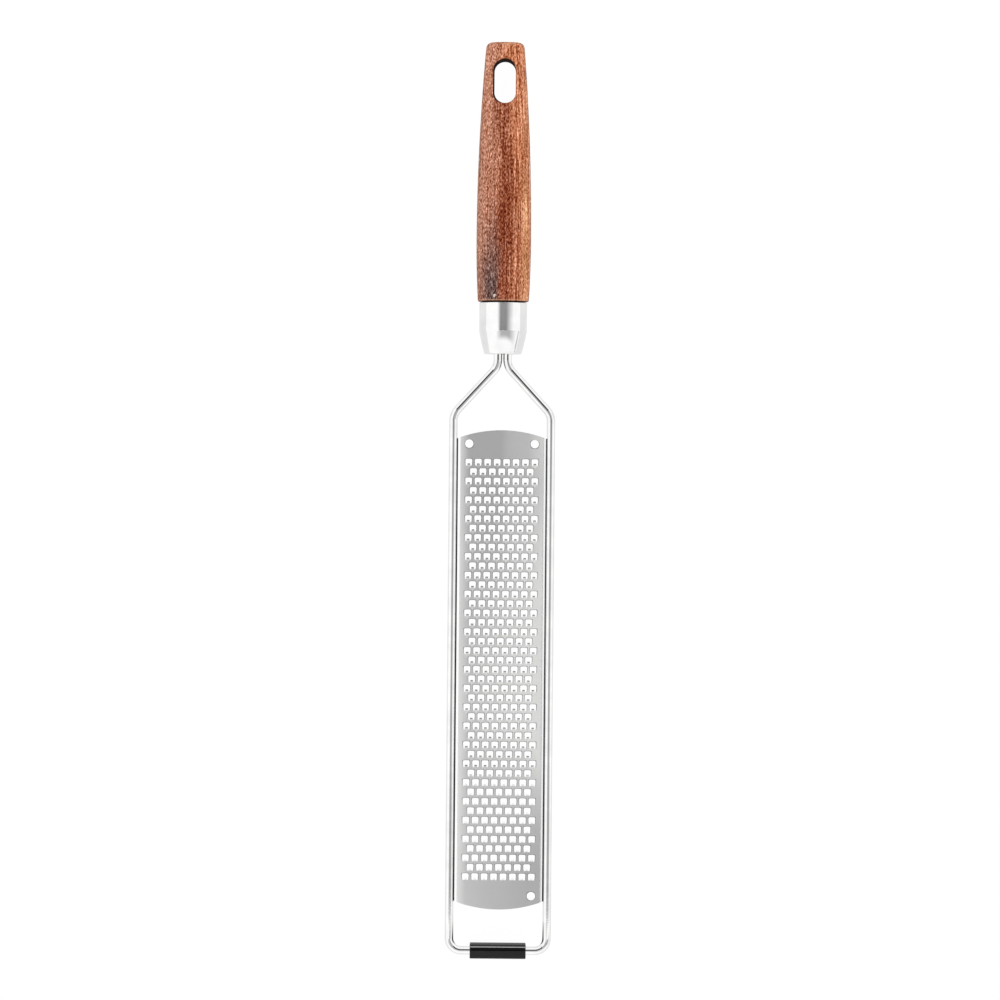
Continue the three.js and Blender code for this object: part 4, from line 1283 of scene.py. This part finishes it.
def studio_light():
    """White surroundings. A dim band hangs overhead along the grater, where the camera is: its right edge lies
    further right at its lower part and fades slowly, its left edge softens at both ends, and a bright gap crosses
    it. A dark strip hangs above it, and a thin dark line lies between the two."""
    world = bpy.data.worlds.new("studio")
    bpy.context.scene.world = world
    tree = emptied(world)
    x, y, z = Field(tree, put(tree, "TexCoord").outputs["Generated"]).parts()
    across = x.calc("ARCTAN2", z).calc("DEGREES")
    along = y.calc("ARCTAN2", z).calc("DEGREES")
    tilt = y.calc("ARCSINE").calc("DEGREES")
    aside = abs(across)

    low_tilt = tilt.ease(*LOW_TILT)
    shift = along.ease(*SHIFT_FAR_DOWN) * FAR_DOWN_SHIFTS + tilt.ease(*SHIFT_LOWER)
    shift = shift + tilt.ease(*SHIFT_LOW) * low_tilt.ramp(*SHIFT_LOWEST)
    reach = shift * SHIFT_DEGREES + across
    fade = reach.ramp(*FADE) * tilt.ease(*FADE_HIGH).most(along.ease(*FADE_DOWN))
    right = reach.ease(*RIGHT_EDGE).most(fade)
    soft = tilt.ease(*HIGH_TILT) * HIGH_SOFTNESS + low_tilt
    left = across.ramp(soft.ramp(*LEFT_START), soft.ramp(*LEFT_END))
    band = right * left * (along.ease(*BAND_LOW_END) * tilt.ease(*BAND_LOW_TILT))
    below_gap = aside.ease(*GAP_MIDDLE) * GAP_WIDENING + tilt
    gap = tilt.ease(*GAP_TOP).most(below_gap.ease(*GAP_BOTTOM))
    band = band * gap * along.ease(*BAND_HIGH_END)
    dim = tilt.ease(*DIM_CHANGE) + along.ease(*DIM_DOWN)
    level = (dim - SURROUND) * band + SURROUND
    slanted = aside * STRIP_SLANT + along
    strip = tilt.ease(*STRIP_BOTTOM) * tilt.ease(*STRIP_TOP) * slanted.ease(*STRIP_SIDE)
    hairline = tilt.ease(*HAIRLINE_BOTTOM) * tilt.ease(*HAIRLINE_TOP) * aside.ease(*HAIRLINE_SIDE)
    level = (DARK - level) * strip.most(hairline) + level

    camera = Field(tree, put(tree, "LightPath").outputs["Is Camera Ray"])
    around, backdrop = (level.through("Background", {"Strength": strength}) for strength in (level, 1))
    mixed = level.through("MixShader", {0: camera, 1: around, 2: backdrop})
    feed(tree, put(tree, "OutputWorld").inputs["Surface"], mixed)


# Camera: millimetres of lens and sensor, metres at the rod's height, and degrees
LENS = 200
SENSOR_WIDTH = 36
FRAME_WIDTH = 0.375
CAMERA_X, CAMERA_Y = -0.00058, 0.0002
CAMERA_TURN = 0.5


def overhead_camera():
    """Long lens straight above, turned by half a degree, so that the frame is 375 mm wide at the rod's height."""
    data = bpy.data.cameras.new("camera")
    data.sensor_width = SENSOR_WIDTH
    data.lens = LENS
    camera = added("camera", data)
    camera.location = (CAMERA_X, CAMERA_Y, AXIS_Z * MM + FRAME_WIDTH * LENS / SENSOR_WIDTH)
    camera.rotation_euler = (0, 0, math.radians(CAMERA_TURN))
    bpy.context.scene.camera = camera


studio_floor()
studio_light()
overhead_camera()
bpy.context.scene.view_settings.view_transform = "Standard"
